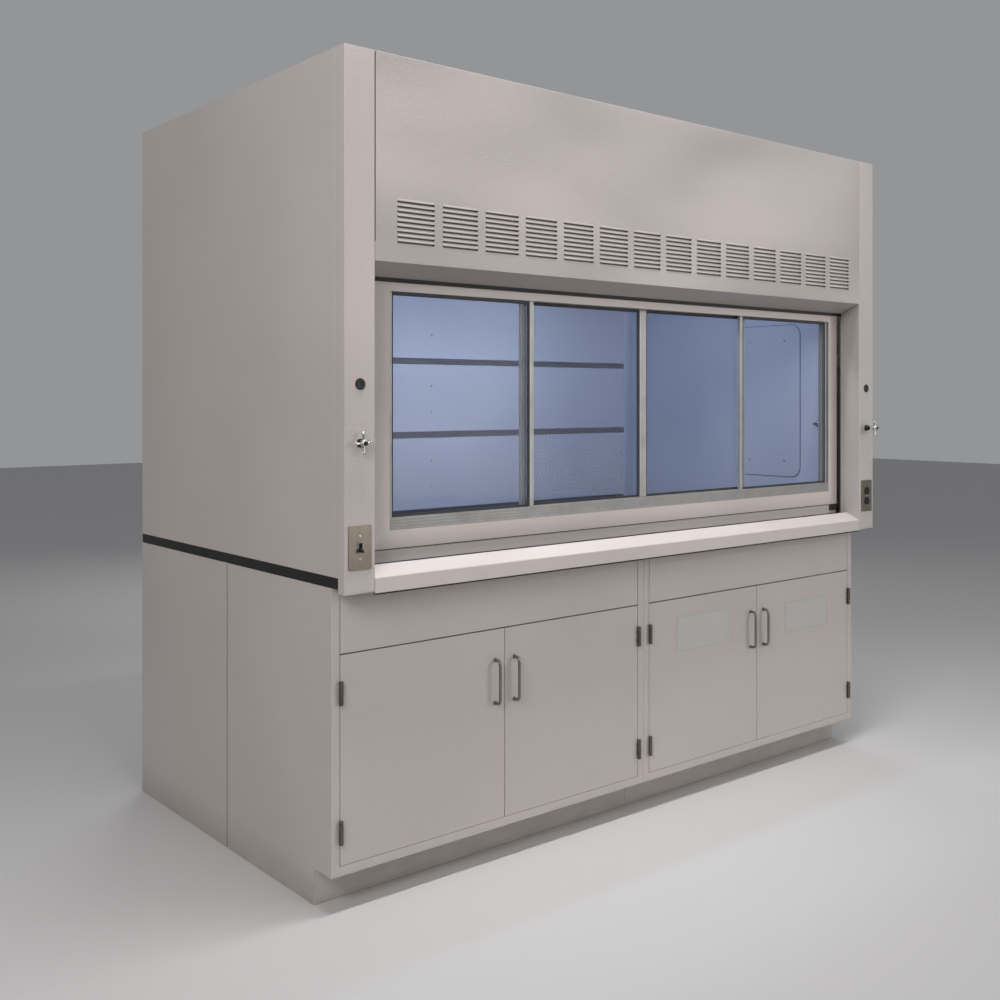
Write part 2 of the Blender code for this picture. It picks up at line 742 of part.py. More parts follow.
def build_door(number, x_low, x_high, hinge_side):
    """One door pan with its two hinges and its pull. Hinge side is -1 left or +1 right."""
    if hinge_side < 0:
        axis_x = x_low + door_gap / 2
        edges = (x_low + door_gap, x_high)
        pull_x = x_high + door_gap / 2 - pull_inset
    else:
        axis_x = x_high - door_gap / 2
        edges = (x_low, x_high - door_gap)
        pull_x = x_low - door_gap / 2 + pull_inset
    axis_y = cabinet_face - hinge_standoff
    z = (opening_bottom + thin_sheet, door_top)
    door = add_box(f"door_{number}", paint, edges, (cabinet_face, cabinet_face + door_thickness),
                   z, origin=(axis_x, axis_y, 0))
    cut_box(door, "hollow", (edges[0] + skin, edges[1] - skin),
            (cabinet_face + skin, cabinet_face + door_thickness - skin),
            (z[0] + skin, z[1] - skin))
    cut_box(door, "drain", (edges[0] + 3 * door_thickness, edges[1] - 3 * door_thickness),
            (cabinet_face + 3 * skin, cabinet_face + door_thickness - 3 * skin),
            (z[0] - skin, z[0] + 2 * skin))

    half_leaf = degrees(atan2(leaf_thickness / 2, hinge_radius))
    barrel = arc((axis_x, axis_y), hinge_radius, 90 + half_leaf, 450 - half_leaf, 14)
    tail_y = axis_y + leaf_length
    leaf = [(axis_x + leaf_thickness / 2, tail_y), (axis_x - leaf_thickness / 2, tail_y)]
    for label, centre in zip(("lower", "upper"), hinge_centres):
        add_prism(f"hinge_{number}_{label}", bronze, barrel + leaf, "Z",
                  centre - hinge_height / 2, centre + hinge_height / 2,
                  origin=(axis_x, axis_y, centre), smooth=True)

    rod_y = cabinet_face - pull_reach
    half = pull_spacing / 2
    bend_y = rod_y + pull_corner
    low = arc((bend_y, pull_height - half + pull_corner), pull_corner, 270, 180, 4)
    high = arc((bend_y, pull_height + half - pull_corner), pull_corner, 180, 90, 4)
    foot_y = cabinet_face - gap
    route = [(pull_x, foot_y, pull_height - half)]
    route += [(pull_x, y, z_bend) for y, z_bend in low + high]
    route.append((pull_x, foot_y, pull_height + half))
    add_tube(f"door_pull_{number}", steel, route, pull_radius, 1)


def build_rear_base_frame():
    x_low = -half_width
    x_high = x_low + 2 * cabinet_width - gap
    y_low = cabinet_face + cabinet_depth + gap
    frame = add_box("rear_base_frame", paint, (x_low, x_high), (y_low, rear), (0, base_top))
    wall = thin_sheet
    cut_box(frame, "chase", (x_low + wall, x_high - wall), (y_low - wall, rear - wall),
            (-wall, base_top + wall))
    cut_box(frame, "window", (x_low + side_flange, x_high - side_flange),
            (rear - 2 * wall, rear + wall), (rail_low, rail_high))


def build_hood():
    build_worktop()
    for label, side in sides:
        build_side_panel(label, side)
        build_corner_post(label, side)
        build_fixtures(label, side)
        build_counterbalance(label, side)
    build_switch()
    build_outlet()
    build_front_panel()
    build_airfoil()
    build_sash_frame()
    open_half = half_width - sash_open_inset
    build_pane(1, pane_shift - open_half, track_front)
    build_pane(2, pane_shift - pane_seam - pane_width, track_rear)
    build_pane(3, pane_shift, track_rear)
    build_pane(4, open_half + pane_end_lap - pane_width, track_front)
    build_liners()
    build_back_and_ceiling()
    build_baffles()
    build_light_and_collar()
    build_cabinet("left", -half_width, 1)
    build_cabinet("right", -half_width + cabinet_width, 3)
    build_rear_base_frame()


build_hood()
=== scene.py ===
import json
from math import asin, cos, degrees, radians, sin, tau
import bmesh
import bpy
from mathutils import Matrix, Vector


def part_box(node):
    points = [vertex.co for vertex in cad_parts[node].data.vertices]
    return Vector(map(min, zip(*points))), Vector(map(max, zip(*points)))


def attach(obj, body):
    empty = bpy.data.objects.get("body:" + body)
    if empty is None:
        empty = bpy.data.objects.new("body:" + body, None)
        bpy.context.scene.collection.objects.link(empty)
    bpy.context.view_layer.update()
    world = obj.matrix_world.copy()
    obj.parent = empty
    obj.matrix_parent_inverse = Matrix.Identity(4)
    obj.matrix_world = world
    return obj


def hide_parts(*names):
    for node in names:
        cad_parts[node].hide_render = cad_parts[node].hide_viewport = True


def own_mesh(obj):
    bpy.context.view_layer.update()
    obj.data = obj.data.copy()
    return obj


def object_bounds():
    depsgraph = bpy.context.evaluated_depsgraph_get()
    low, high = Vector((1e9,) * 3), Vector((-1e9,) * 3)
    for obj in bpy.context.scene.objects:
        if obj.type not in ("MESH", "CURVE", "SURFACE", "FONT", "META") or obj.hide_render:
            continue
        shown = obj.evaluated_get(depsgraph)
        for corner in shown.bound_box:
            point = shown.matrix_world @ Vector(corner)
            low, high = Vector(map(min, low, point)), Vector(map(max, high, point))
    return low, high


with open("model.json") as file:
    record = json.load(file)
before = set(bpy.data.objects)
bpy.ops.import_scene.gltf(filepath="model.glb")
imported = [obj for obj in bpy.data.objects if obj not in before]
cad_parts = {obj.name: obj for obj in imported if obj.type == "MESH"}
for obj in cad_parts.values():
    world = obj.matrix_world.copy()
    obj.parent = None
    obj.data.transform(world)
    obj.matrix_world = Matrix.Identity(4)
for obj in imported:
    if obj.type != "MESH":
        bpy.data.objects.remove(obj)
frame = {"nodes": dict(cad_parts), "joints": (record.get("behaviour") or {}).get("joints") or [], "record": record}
cadLow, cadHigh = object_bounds()
nodes = frame["nodes"]
joints = {joint["name"]: joint for joint in frame["joints"]}
bodyOf = {}
for bodyName, members in frame["record"]["behaviour"]["bodies"].items():
    for member in members:
        bodyOf[member] = bodyName
print("frame loaded:", len(nodes), "nodes")


class Value:  # a shader socket that can stand in Python sums
    def __init__(self, look, socket):
        self.look = look
        self.socket = socket

    def sum(self, operation, first, second):
        return self.look.add("ShaderNodeMath", {"operation": operation}, {0: first, 1: second})

    def __add__(self, other):
        return self.sum("ADD", self, other)

    def __radd__(self, other):
        return self.sum("ADD", other, self)

    def __sub__(self, other):
        return self.sum("SUBTRACT", self, other)

    def __rsub__(self, other):
        return self.sum("SUBTRACT", other, self)

    def __mul__(self, other):
        return self.sum("MULTIPLY", self, other)

    def __rmul__(self, other):
        return self.sum("MULTIPLY", other, self)


class Look:  # one material and the nodes that feed its shader
    def __init__(self, name, **sockets):
        self.material = bpy.data.materials.new(name)
        self.material.use_nodes = True
        self.tree = self.material.node_tree
        self.shader = self.tree.nodes["Principled BSDF"]
        for socket, value in sockets.items():
            self.shader.inputs[socket.replace("_", " ")].default_value = value

    def add(self, kind, settings=None, sockets=None, output=0):
        made = self.tree.nodes.new(kind)
        for key, value in (settings or {}).items():
            if key == "stops":
                while len(made.color_ramp.elements) < len(value):
                    made.color_ramp.elements.new(0.5)
                for stop, (place, shade) in zip(made.color_ramp.elements, value):
                    stop.position = place
                    stop.color = (*shade, 1.0)
            else:
                setattr(made, key, value)
        for key, value in (sockets or {}).items():
            if isinstance(value, Value):
                self.tree.links.new(value.socket, made.inputs[key])
            else:
                made.inputs[key].default_value = value
        return Value(self, made.outputs[output])

    def place(self, scale=(1, 1, 1)):
        where = self.add("ShaderNodeTexCoord", output=3)
        return self.add("ShaderNodeMapping", None, {"Vector": where, "Scale": scale})

    def noise(self, scale, detail=2.0, stretch=(1, 1, 1)):
        return self.add("ShaderNodeTexNoise", None,
            {"Vector": self.place(stretch), "Scale": scale, "Detail": detail})

    def between(self, value, low, high, toLow=0.0, toHigh=1.0):
        return self.add("ShaderNodeMapRange", {"clamp": True},
            {0: value, 1: low, 2: high, 3: toLow, 4: toHigh})

    def height(self):
        return self.add("ShaderNodeSeparateXYZ", None, {0: self.place()}, output=2)

    def mix(self, amount, first, second):
        shades = {6: first, 7: second}
        for key, shade in shades.items():
            if not isinstance(shade, Value):
                shades[key] = (*shade, 1.0)
        return self.add("ShaderNodeMix", {"data_type": "RGBA"}, {0: amount, **shades}, output=2)

    def feed(self, socket, value):
        self.tree.links.new(value.socket, self.shader.inputs[socket])

    def coat(self, amount, first, second):
        self.feed("Base Color", self.mix(amount, first, second))

    def rough(self, value):
        self.feed("Roughness", value)

    def bump(self, height, strength, distance):
        self.feed("Normal", self.add("ShaderNodeBump", None, {"Height": height,
            "Strength": strength, "Distance": distance}))


# paint colours, and a dark colour painted in as shade near the floor below a given height
paintSettings = {"light": (0.47, 0.428, 0.408), "dark": (0.43, 0.39, 0.37),
    "toeShade": (0.24, 0.215, 0.195), "toeShadeTop": 0.11, "peelSize": 420,
    "peel": 0.035, "wave": 0.03, "headerWave": 0.075}


def paintLook(name, lift=1.0, wave=paintSettings["wave"], drift=(1, 1, 1)):
    look = Look(name, IOR=1.5)
    light = [part * lift for part in paintSettings["light"]]
    dark = [part * lift for part in paintSettings["dark"]]
    cloud = look.between(look.noise(1.3, 4), 0.35, 0.68)
    speck = look.between(look.noise(900, 1), 0.3, 0.7)
    coat = look.mix(cloud * 0.7 + speck * 0.3, dark, light)
    # painted shade near the floor: the paint darkens towards the bottom, by an amount that a stretched noise
    # varies
    low = look.between(look.height(), 0.0, paintSettings["toeShadeTop"], 1.0, 0.0)
    toeShadeNoise = look.between(look.noise(9, 5, (1, 1, 3)), 0.35, 0.8)
    look.coat(low * (0.35 + toeShadeNoise * 0.35), coat, paintSettings["toeShade"])
    look.rough(0.27 + look.noise(5, 4) * 0.1 + speck * 0.05)
    # fine orange peel over the slow waves of sheet metal
    peel = look.noise(paintSettings["peelSize"], 2) * paintSettings["peel"]
    peel = peel * (paintSettings["wave"] / wave)
    look.bump(look.noise(1.7, 0.4, drift) + peel, 1.0, wave)
    return look


def linerLook():
    look = Look("linerPanel", IOR=1.5)
    cloud = look.between(look.noise(2.2, 4), 0.35, 0.65)
    haze = look.between(look.noise(6, 4, (1, 1, 0.3)), 0.5, 0.8)
    body = look.mix(cloud, (0.43, 0.47, 0.6), (0.47, 0.51, 0.64))
    look.coat(haze * 0.12, body, (0.36, 0.39, 0.48))
    look.rough(0.36 + look.noise(14, 3) * 0.1)
    look.bump(look.noise(240, 2), 0.06, 0.0004)
    return look


def resinLook():
    look = Look("epoxyResin", IOR=1.36)
    fleck = look.between(look.noise(700, 2), 0.55, 0.75)
    rub = look.between(look.noise(7, 5), 0.45, 0.75)
    look.coat(fleck * 0.5, (0.012, 0.011, 0.01), (0.04, 0.037, 0.034))
    look.rough(0.42 + rub * 0.2)
    look.bump(look.noise(300, 3), 0.15, 0.0006)
    return look


def metalLook(name, shade, dull, grain, rough=0.3, depth=0.08, metallic=1.0):
    # grain is how much the brushing is stretched along X, Y and Z
    look = Look(name, Metallic=metallic)
    brush = look.noise(260, 3, grain)
    stain = look.between(look.noise(18, 4), 0.4, 0.75)
    look.coat(stain * 0.6 + brush * 0.3, shade, dull)
    look.rough(rough + brush * 0.16 + stain * 0.08)
    look.bump(brush, depth, 0.0004)
    return look


def plasticLook(name, shade, worn, rough=0.38, peelSize=900):
    look = Look(name, IOR=1.32)
    rub = look.between(look.noise(55, 4), 0.5, 0.8)
    look.coat(rub * 0.5, shade, worn)
    look.rough(rough + rub * 0.15)
    look.bump(look.noise(peelSize, 2), 0.15, 0.0003)
    return look


def ironLook():
    look = Look("castIron", Metallic=0.55)
    sand = look.noise(240, 5)
    rust = look.between(look.noise(16, 5), 0.55, 0.72)
    look.coat(rust * 0.7, (0.075, 0.072, 0.07), (0.16, 0.075, 0.035))
    look.rough(0.55 + sand * 0.3)
    look.bump(sand, 0.5, 0.001)
    return look


def glassLook():
    look = Look("safetyGlass", IOR=1.5, Roughness=0.02)
    smear = look.between(look.noise(3, 4, (1, 1, 0.4)), 0.45, 0.8)
    look.coat(smear, (0.2, 0.26, 0.42), (0.3, 0.36, 0.5))
    edge = look.add("ShaderNodeLayerWeight", None, {"Blend": 0.18}, output=1)
    look.feed("Alpha", 0.05 + edge * 0.3 + smear * 0.015)
    return look


def lampLook():
    look = Look("lampLens", Roughness=0.35, Emission_Strength=1.0)
    ribs = look.add("ShaderNodeTexWave", {"wave_type": "BANDS", "bands_direction": "X"},
        {"Vector": look.place(), "Scale": 60.0, "Distortion": 0.0})
    look.coat(ribs, (0.78, 0.8, 0.82), (0.9, 0.91, 0.92))
    look.feed("Emission Color", look.mix(ribs, (0.8, 0.88, 1.0), (0.9, 0.95, 1.0)))
    look.bump(ribs, 0.4, 0.001)
    return look


def plateLook():
    look = Look("plainLabel")
    haze = look.between(look.noise(8, 3), 0.3, 0.7)
    fleck = look.between(look.noise(1200, 1), 0.3, 0.7)
    look.coat(haze * 0.12 + fleck * 0.3, (0.43, 0.43, 0.415), (0.455, 0.455, 0.44))
    look.rough(0.36 + haze * 0.04)
    look.bump(fleck, 0.05, 0.0002)
    return look


looks = {
    "paint": paintLook("powderCoat"),
    "sashPaint": paintLook("powderCoatSash", 1.12),
    # a lighter copy of the paint for the airfoil sill, painted light from above
    "litSillPaint": paintLook("powderCoatSillLit", 1.12),
    # a darker copy of the paint for the header panel, painted shade
    "shadedHeaderPaint": paintLook("powderCoatHeaderShaded", 0.93, paintSettings["headerWave"], (0.9, 1, 1.7)),
    "liner": linerLook(),
    "resin": resinLook(),
    "aluminium": metalLook("anodisedAluminium", (0.38, 0.38, 0.37), (0.29, 0.29, 0.28),
        (1, 1, 0.04), 0.34, 0.08, 0.4),
    "aluminiumAcross": metalLook("anodisedAluminiumRail", (0.29, 0.29, 0.285),
        (0.22, 0.22, 0.215), (0.04, 1, 1), 0.36, 0.08, 0.4),
    "steel": metalLook("brushedSteel", (0.56, 0.54, 0.5), (0.4, 0.38, 0.35), (1, 1, 0.05), 0.26),
    "plateSteel": metalLook("brushedPlate", (0.28, 0.25, 0.205), (0.16, 0.14, 0.115),
        (1, 1, 0.04), 0.24, 0.12),
    "galvanised": metalLook("galvanisedSteel", (0.55, 0.56, 0.57), (0.38, 0.39, 0.4),
        (0.5, 0.5, 0.5), 0.34, 0.05),
    "chrome": metalLook("polishedChrome", (0.62, 0.61, 0.59), (0.46, 0.45, 0.43), (1, 1, 1),
        0.13, 0.0),
    "bronze": metalLook("darkBronzePlate", (0.17, 0.155, 0.14), (0.09, 0.08, 0.072),
        (1, 1, 0.1), 0.34, 0.1),
    # a grey for the sheet behind the louvres, painted shade of the bypass behind the slots
    "shadeScreenGrey": plasticLook("shadeScreenGrey", (0.26, 0.25, 0.24), (0.2, 0.19, 0.18), 0.6),
    "black": plasticLook("mouldedBlack", (0.014, 0.014, 0.015), (0.035, 0.034, 0.033)),
    # black rubber, also used for the strip painted as shadow under the sill
    "rubberAndShadow": plasticLook("blackRubberAndShadow", (0.018, 0.017, 0.017), (0.045, 0.043, 0.041), 0.6, 500),
    # dark seal colour, also used for strips painted as shadow lines
    "seal": plasticLook("darkSealAndShadow", (0.045, 0.045, 0.048), (0.075, 0.075, 0.078), 0.55, 700),
    "iron": ironLook(),
    "glass": glassLook(),
    "lamp": lampLook(),
    "label": plateLook(),
    # a darker copy of satin steel for the door pulls, painted shade for the dark their sides reflect
    "shadedPullSteel": metalLook("satinPullShaded", (0.3, 0.27, 0.24), (0.2, 0.18, 0.16), (1, 1, 0.06), 0.2),
    "railDark": metalLook("darkRail", (0.05, 0.05, 0.052), (0.03, 0.03, 0.032), (0.04, 1, 1),
        0.42, 0.06, 0.6),
    "rope": metalLook("wireRope", (0.42, 0.42, 0.42), (0.2, 0.2, 0.2), (1, 1, 3), 0.35, 0.6),
    "labelEdge": plasticLook("labelEdge", (0.3, 0.29, 0.28), (0.36, 0.35, 0.34), 0.35),
}
print("materials made:", len(looks))


def meshOf(name, builder):
    mesh = bpy.data.meshes.new(name)
    builder.to_mesh(mesh)
    builder.free()
    return mesh


def linked(name, data):
    made = bpy.data.objects.new(name, data)
    bpy.context.scene.collection.objects.link(made)
    return made


def merge(builder, gap=0.00001):
    bmesh.ops.remove_doubles(builder, verts=builder.verts, dist=gap)
    bmesh.ops.recalc_face_normals(builder, faces=builder.faces)


def keep(name, builder, lookName, body, stands=(), sharp=35, weigh=True):
    # closes a bmesh into a piece that rides on a body
    mesh = meshOf(name, builder)
    mesh.materials.append(looks[lookName].material)
    mesh.shade_smooth()
    mesh.set_sharp_from_angle(angle=radians(sharp))
    piece = linked(name, mesh)
    if weigh:
        piece.modifiers.new("evenShade", "WEIGHTED_NORMAL").keep_sharp = True
    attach(piece, body)
    if stands:
        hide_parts(*stands)
    return piece


def bevelEdges(builder, edges, width, segments=2):
    if edges and width > 0:
        bmesh.ops.bevel(builder, geom=list(edges), offset=width, offset_type="OFFSET",
            affect="EDGES", segments=segments, profile=0.5, material=-1, clamp_overlap=True)


def block(builder, low, high, rounding=0.0, segments=2):
    size = Vector(high) - Vector(low)
    middle = (Vector(high) + Vector(low)) / 2
    place = Matrix.Translation(middle) @ Matrix.Diagonal((*size, 1.0))
    made = bmesh.ops.create_cube(builder, size=1.0, matrix=place)
    edges = {edge for corner in made["verts"] for edge in corner.link_edges}
    bevelEdges(builder, edges, rounding, segments)


def turnTo(direction):
    return Vector((0, 0, 1)).rotation_difference(Vector(direction)).to_matrix().to_4x4()


def rod(builder, start, end, radius, endRadius=None, sides=16, rounding=0.0):
    start, end = Vector(start), Vector(end)
    place = Matrix.Translation((start + end) / 2) @ turnTo(end - start)
    made = bmesh.ops.create_cone(builder, cap_ends=True, segments=sides, radius1=radius,
        radius2=radius if endRadius is None else endRadius,
        depth=(end - start).length, matrix=place)
    if rounding:
        rims = {edge for corner in made["verts"] for edge in corner.link_edges
            if any(len(face.verts) > 4 for face in edge.link_faces)}
        bevelEdges(builder, rims, rounding)


def ball(builder, centre, radii, across=14, down=10):
    place = Matrix.Translation(centre) @ Matrix.Diagonal((*radii, 1.0))
    bmesh.ops.create_uvsphere(builder, u_segments=across, v_segments=down, radius=1.0, matrix=place)


def turned(builder, profile, centre, axis, steps=32, closed=False):
    # profile is pairs of radius and distance along the axis
    spinAxis = Vector(axis).normalized()
    out = spinAxis.orthogonal().normalized()
    corners = [builder.verts.new(Vector(centre) + out * radius + spinAxis * along)
        for radius, along in profile]
    pairs = list(zip(corners, corners[1:]))
    if closed:
        pairs.append((corners[-1], corners[0]))
    edges = [builder.edges.new(pair) for pair in pairs]
    bmesh.ops.spin(builder, geom=corners + edges, cent=centre, axis=spinAxis, angle=tau,
        steps=steps, use_merge=True)
    merge(builder)


def prism(builder, outline, axis, low, high, rounding=0.0, segments=2):
    # outline is pairs of the other two axes, in order
    corners = []
    for first, second in outline:
        place = {"X": (low, first, second), "Y": (first, low, second),
            "Z": (first, second, low)}[axis]
        corners.append(builder.verts.new(place))
    face = builder.faces.new(corners)
    swept = bmesh.ops.extrude_face_region(builder, geom=[face])["geom"]
    moved = [part for part in swept if isinstance(part, bmesh.types.BMVert)]
    shift = Vector([high - low if letter == axis else 0.0 for letter in "XYZ"])
    bmesh.ops.translate(builder, vec=shift, verts=moved)
    faces = {face for corner in corners + moved for face in corner.link_faces}
    bmesh.ops.recalc_face_normals(builder, faces=list(faces))
    edges = {edge for corner in corners + moved for edge in corner.link_edges}
    bevelEdges(builder, edges, rounding, segments)


screwShape = {"height": 0.55, "taper": 0.72, "rim": 0.34, "wall": 0.05, "socket": 0.6}


def screw(builder, place, direction, radius, height=None, sides=12):
    # a round head with a sunk socket; its shape is in shares of the radius and the height
    height = height or radius * screwShape["height"]
    out = Vector(direction).normalized()
    middle = Vector(place) + out * height / 2
    made = bmesh.ops.create_cone(builder, cap_ends=True, segments=sides, radius1=radius,
        radius2=radius * screwShape["taper"], depth=height,
        matrix=Matrix.Translation(middle) @ turnTo(out))
    builder.normal_update()
    top = [face for face in {f for corner in made["verts"] for f in corner.link_faces}
        if len(face.verts) == sides and face.normal.dot(out) > 0.5]
    bmesh.ops.inset_region(builder, faces=top, thickness=radius * screwShape["rim"])
    bmesh.ops.inset_region(builder, faces=top, thickness=radius * screwShape["wall"],
        depth=-height * screwShape["socket"])


def tube(name, points, radius, lookName, body, stands=(), sides=8):
    curve = bpy.data.curves.new(name, "CURVE")
    curve.dimensions = "3D"
    curve.bevel_depth = radius
    curve.bevel_resolution = sides
    curve.use_fill_caps = True
    spline = curve.splines.new("POLY")
    spline.points.add(len(points) - 1)
    for point, place in zip(spline.points, points):
        point.co = (*place, 1.0)
    helper = linked(name + "Path", curve)
    solid = bpy.data.meshes.new_from_object(helper)
    bpy.data.objects.remove(helper)
    builder = bmesh.new()
    builder.from_mesh(solid)
    merge(builder, 0.000001)
    return keep(name, builder, lookName, body, stands, 50, False)


def arc(centre, radius, start, end, steps):
    points = []
    for step in range(steps + 1):
        angle = radians(start + (end - start) * step / steps)
        points.append((centre[0] + radius * cos(angle), centre[1] + radius * sin(angle)))
    return points


def crowded(edge, gap):
    # true when another edge of the same face runs closer to this edge's middle than the gap
    middle = (edge.verts[0].co + edge.verts[1].co) / 2
    for face in edge.link_faces:
        for other in face.edges:
            if set(other.verts) & set(edge.verts):
                continue
            start, way = other.verts[0].co, other.verts[1].co - other.verts[0].co
            along = min(max((middle - start).dot(way) / way.length_squared, 0.0), 1.0)
            if (start + way * along - middle).length < gap:
                return True
    return False


def carved(builder, cutter):
    # takes one bmesh's shape out of another
    solids = []
    for part in (builder, cutter):
        solids.append(linked("carving", meshOf("carving", part)))
    cut = solids[0].modifiers.new("cut", "BOOLEAN")
    cut.operation = "DIFFERENCE"
    cut.solver = "EXACT"
    cut.object = solids[1]
    graph = bpy.context.evaluated_depsgraph_get()
    result = bpy.data.meshes.new_from_object(solids[0].evaluated_get(graph))
    made = bmesh.new()
    made.from_mesh(result)
    for solid in solids:
        bpy.data.objects.remove(solid)
    return made


softRules = {"flat": 0.8, "bend": 25, "reach": 0.7, "clear": 2.2}


def softCopy(node, name, lookName, rounding=0.002, segments=3, wide=0.007):
    # a merged copy of a CAD node whose bends are rounded
    builder = bmesh.new()
    builder.from_mesh(nodes[node].data)
    merge(builder)
    bmesh.ops.dissolve_limit(builder, angle_limit=radians(softRules["flat"]), verts=builder.verts,
        edges=builder.edges, use_dissolve_boundaries=False)
    broad = []
    for edge in builder.edges:
        if len(edge.link_faces) != 2 or not edge.is_convex:
            continue
        if edge.calc_face_angle(0.0) < radians(softRules["bend"]):
            continue
        span = min(face.calc_area() / edge.calc_length() for face in edge.link_faces)
        reach = min(min(e.calc_length() for e in face.edges
            if e is not edge and set(e.verts) & set(edge.verts)) for face in edge.link_faces)
        roomy = span > wide and reach > wide * softRules["reach"]
        if roomy and not crowded(edge, rounding * softRules["clear"]):
            broad.append(edge)
    bevelEdges(builder, broad, rounding, segments)
    bmesh.ops.triangulate(builder, faces=[f for f in builder.faces if len(f.verts) > 4])
    return keep(name, builder, lookName, bodyOf[node], [node])


# painted shell
shell = {"bend": 0.0022, "post": 0.00286, "cabinetBend": 0.0012, "doorBend": 0.002,
    "lamp": 0.002, "sash": 0.0016, "liner": 0.0012, "bench": 0.003, "weight": 0.004}
for side in ("left", "right"):
    softCopy(f"side_panel_{side}", f"sidePanel_{side}", "paint", shell["bend"])
    softCopy(f"corner_post_{side}", f"cornerPost_{side}", "paint", shell["post"])
    softCopy(f"cabinet_{side}", f"cabinet_{side}_shell", "paint", shell["cabinetBend"])
    softCopy(f"apron_panel_{side}", f"apron_{side}", "paint", shell["doorBend"])
softCopy("front_panel", "frontPanel", "shadedHeaderPaint", shell["bend"])
softCopy("airfoil", "airfoilSill", "litSillPaint", shell["bend"])
softCopy("rear_base_frame", "rearBaseFrame", "paint", shell["cabinetBend"])
softCopy("light_fixture", "lampHousing", "paint", shell["lamp"])
for number in range(1, 5):
    softCopy(f"door_{number}", f"doorPan_{number}", "paint", shell["doorBend"])
softCopy("sash_frame", "sashFrame", "sashPaint", shell["sash"], 2)
print("painted shell made")

# chamber
for node in ("liner_left", "liner_right", "back_panel", "ceiling_panel", "baffle_lower",
        "baffle_middle", "baffle_upper"):
    softCopy(node, "inner_" + node, "liner", shell["liner"], 2, wide=0.004)
softCopy("access_panel", "accessDoor", "liner", shell["liner"], 2, wide=0.003)
softCopy("worktop", "benchTop", "resin", shell["bench"], 3, wide=0.006)
print("chamber made")

# the CAD's own glass plates stay as they are
for number in range(1, 5):
    plate = nodes[f"pane_glass_{number}"].data
    plate.materials.clear()
    plate.materials.append(looks["glass"].material)
for side in ("left", "right"):
    softCopy(f"counterweight_{side}", f"castWeight_{side}", "iron", shell["weight"], 3)

# louvre lips on the front panel, and a grey sheet behind them that paints shade into the bypass behind the slots
louvre = {"groups": 14, "rows": 9, "pitchX": 0.1524, "pitchZ": 0.0136, "width": 0.125,
    "lowest": 1.788, "slot": 0.006, "proud": 0.0022, "lip": 0.0062, "sunk": 0.0004,
    "inset": 0.001, "slope": 0.004}
shadeScreen = {"margin": 0.012, "rise": 0.016, "depth": 0.0075, "sheet": 0.0012, "lip": 0.0015,
    "front": 0.0018, "edge": 0.0003}
panelLow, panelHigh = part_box("front_panel")

builder = bmesh.new()
reach = louvre["width"] / 2 - louvre["inset"]
face, out = panelLow.y + louvre["sunk"], panelLow.y - louvre["proud"]
for group in range(louvre["groups"]):
    x = (group - (louvre["groups"] - 1) / 2) * louvre["pitchX"]
    for row in range(louvre["rows"]):
        low = louvre["lowest"] + row * louvre["pitchZ"] + louvre["slot"] / 2
        outline = [(face, low - 0.0006), (out + 0.0003, low - 0.001), (out, low + 0.0004),
            (out + 0.0006, low + louvre["lip"] * 0.45), (face, low + louvre["lip"])]
        before = set(builder.verts)
        prism(builder, outline, "X", x - reach, x + reach)
        for corner in builder.verts:  # the lip's ends run down to the panel
            if corner not in before and corner.co.y < face - louvre["sunk"] / 2:
                corner.co.x += louvre["slope"] if corner.co.x < x else -louvre["slope"]
keep("louvreLips", builder, "paint", "hood", sharp=50, weigh=False)

# held off the panel by a lip all along
builder = bmesh.new()
reach = (louvre["groups"] - 1) / 2 * louvre["pitchX"] + louvre["width"] / 2 + shadeScreen["margin"]
low = louvre["lowest"] - shadeScreen["rise"]
high = louvre["lowest"] + (louvre["rows"] - 1) * louvre["pitchZ"] + shadeScreen["rise"]
back, front, lip = panelLow.y + shadeScreen["depth"], panelLow.y + shadeScreen["front"], shadeScreen["lip"]
block(builder, (-reach, back, low), (reach, back + shadeScreen["sheet"], high), shadeScreen["edge"], 1)
for start, end in ((low, low + lip), (high - lip, high)):
    block(builder, (-reach, front, start), (reach, back, end), shadeScreen["edge"], 1)
keep("bypassShadeScreen", builder, "shadeScreenGrey", "hood", sharp=30)
print("louvres made")

# dark strips painted as shadow lines in the joints beside the header and the base, under the sill and along the
# sash lip step, and a header wiper
seam = {"proud": 0.0004, "sunk": 0.0022, "headerHalf": 0.0013, "headerFoot": 0.085,
    "headerTop": 0.004, "baseHalf": 0.0015, "baseEnd": 0.001, "wiper": 0.0025,
    "wiperBack": 0.0845, "wiperFoot": 0.001, "wiperTop": 0.0115, "sillShadow": 0.0036,
    "sillShadowFront": 0.0012, "sillShadowBack": 0.0092, "lip": 0.0026, "lipTop": 0.0365,
    "lipFront": 0.0008, "lipBack": 0.0046, "overlap": 0.0002, "end": 0.001}


def strip(name, low, high, edge, lookName, body):
    builder = bmesh.new()
    block(builder, low, high, edge, 1)
    keep(name, builder, lookName, body, sharp=30)


half, face = seam["headerHalf"], panelLow.y
# a dark strip in the joint between the header panel and the left corner post, painted shadow
strip("headerShadowLine", (panelLow.x - half, face - seam["proud"], panelLow.z + seam["headerFoot"]),
    (panelLow.x + half, face + seam["sunk"], panelHigh.z - seam["headerTop"]),
    0.0003, "seal", "hood")
(baseLow, baseHigh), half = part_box("cabinet_left"), seam["baseHalf"]
middle = (baseHigh.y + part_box("rear_base_frame")[0].y) / 2
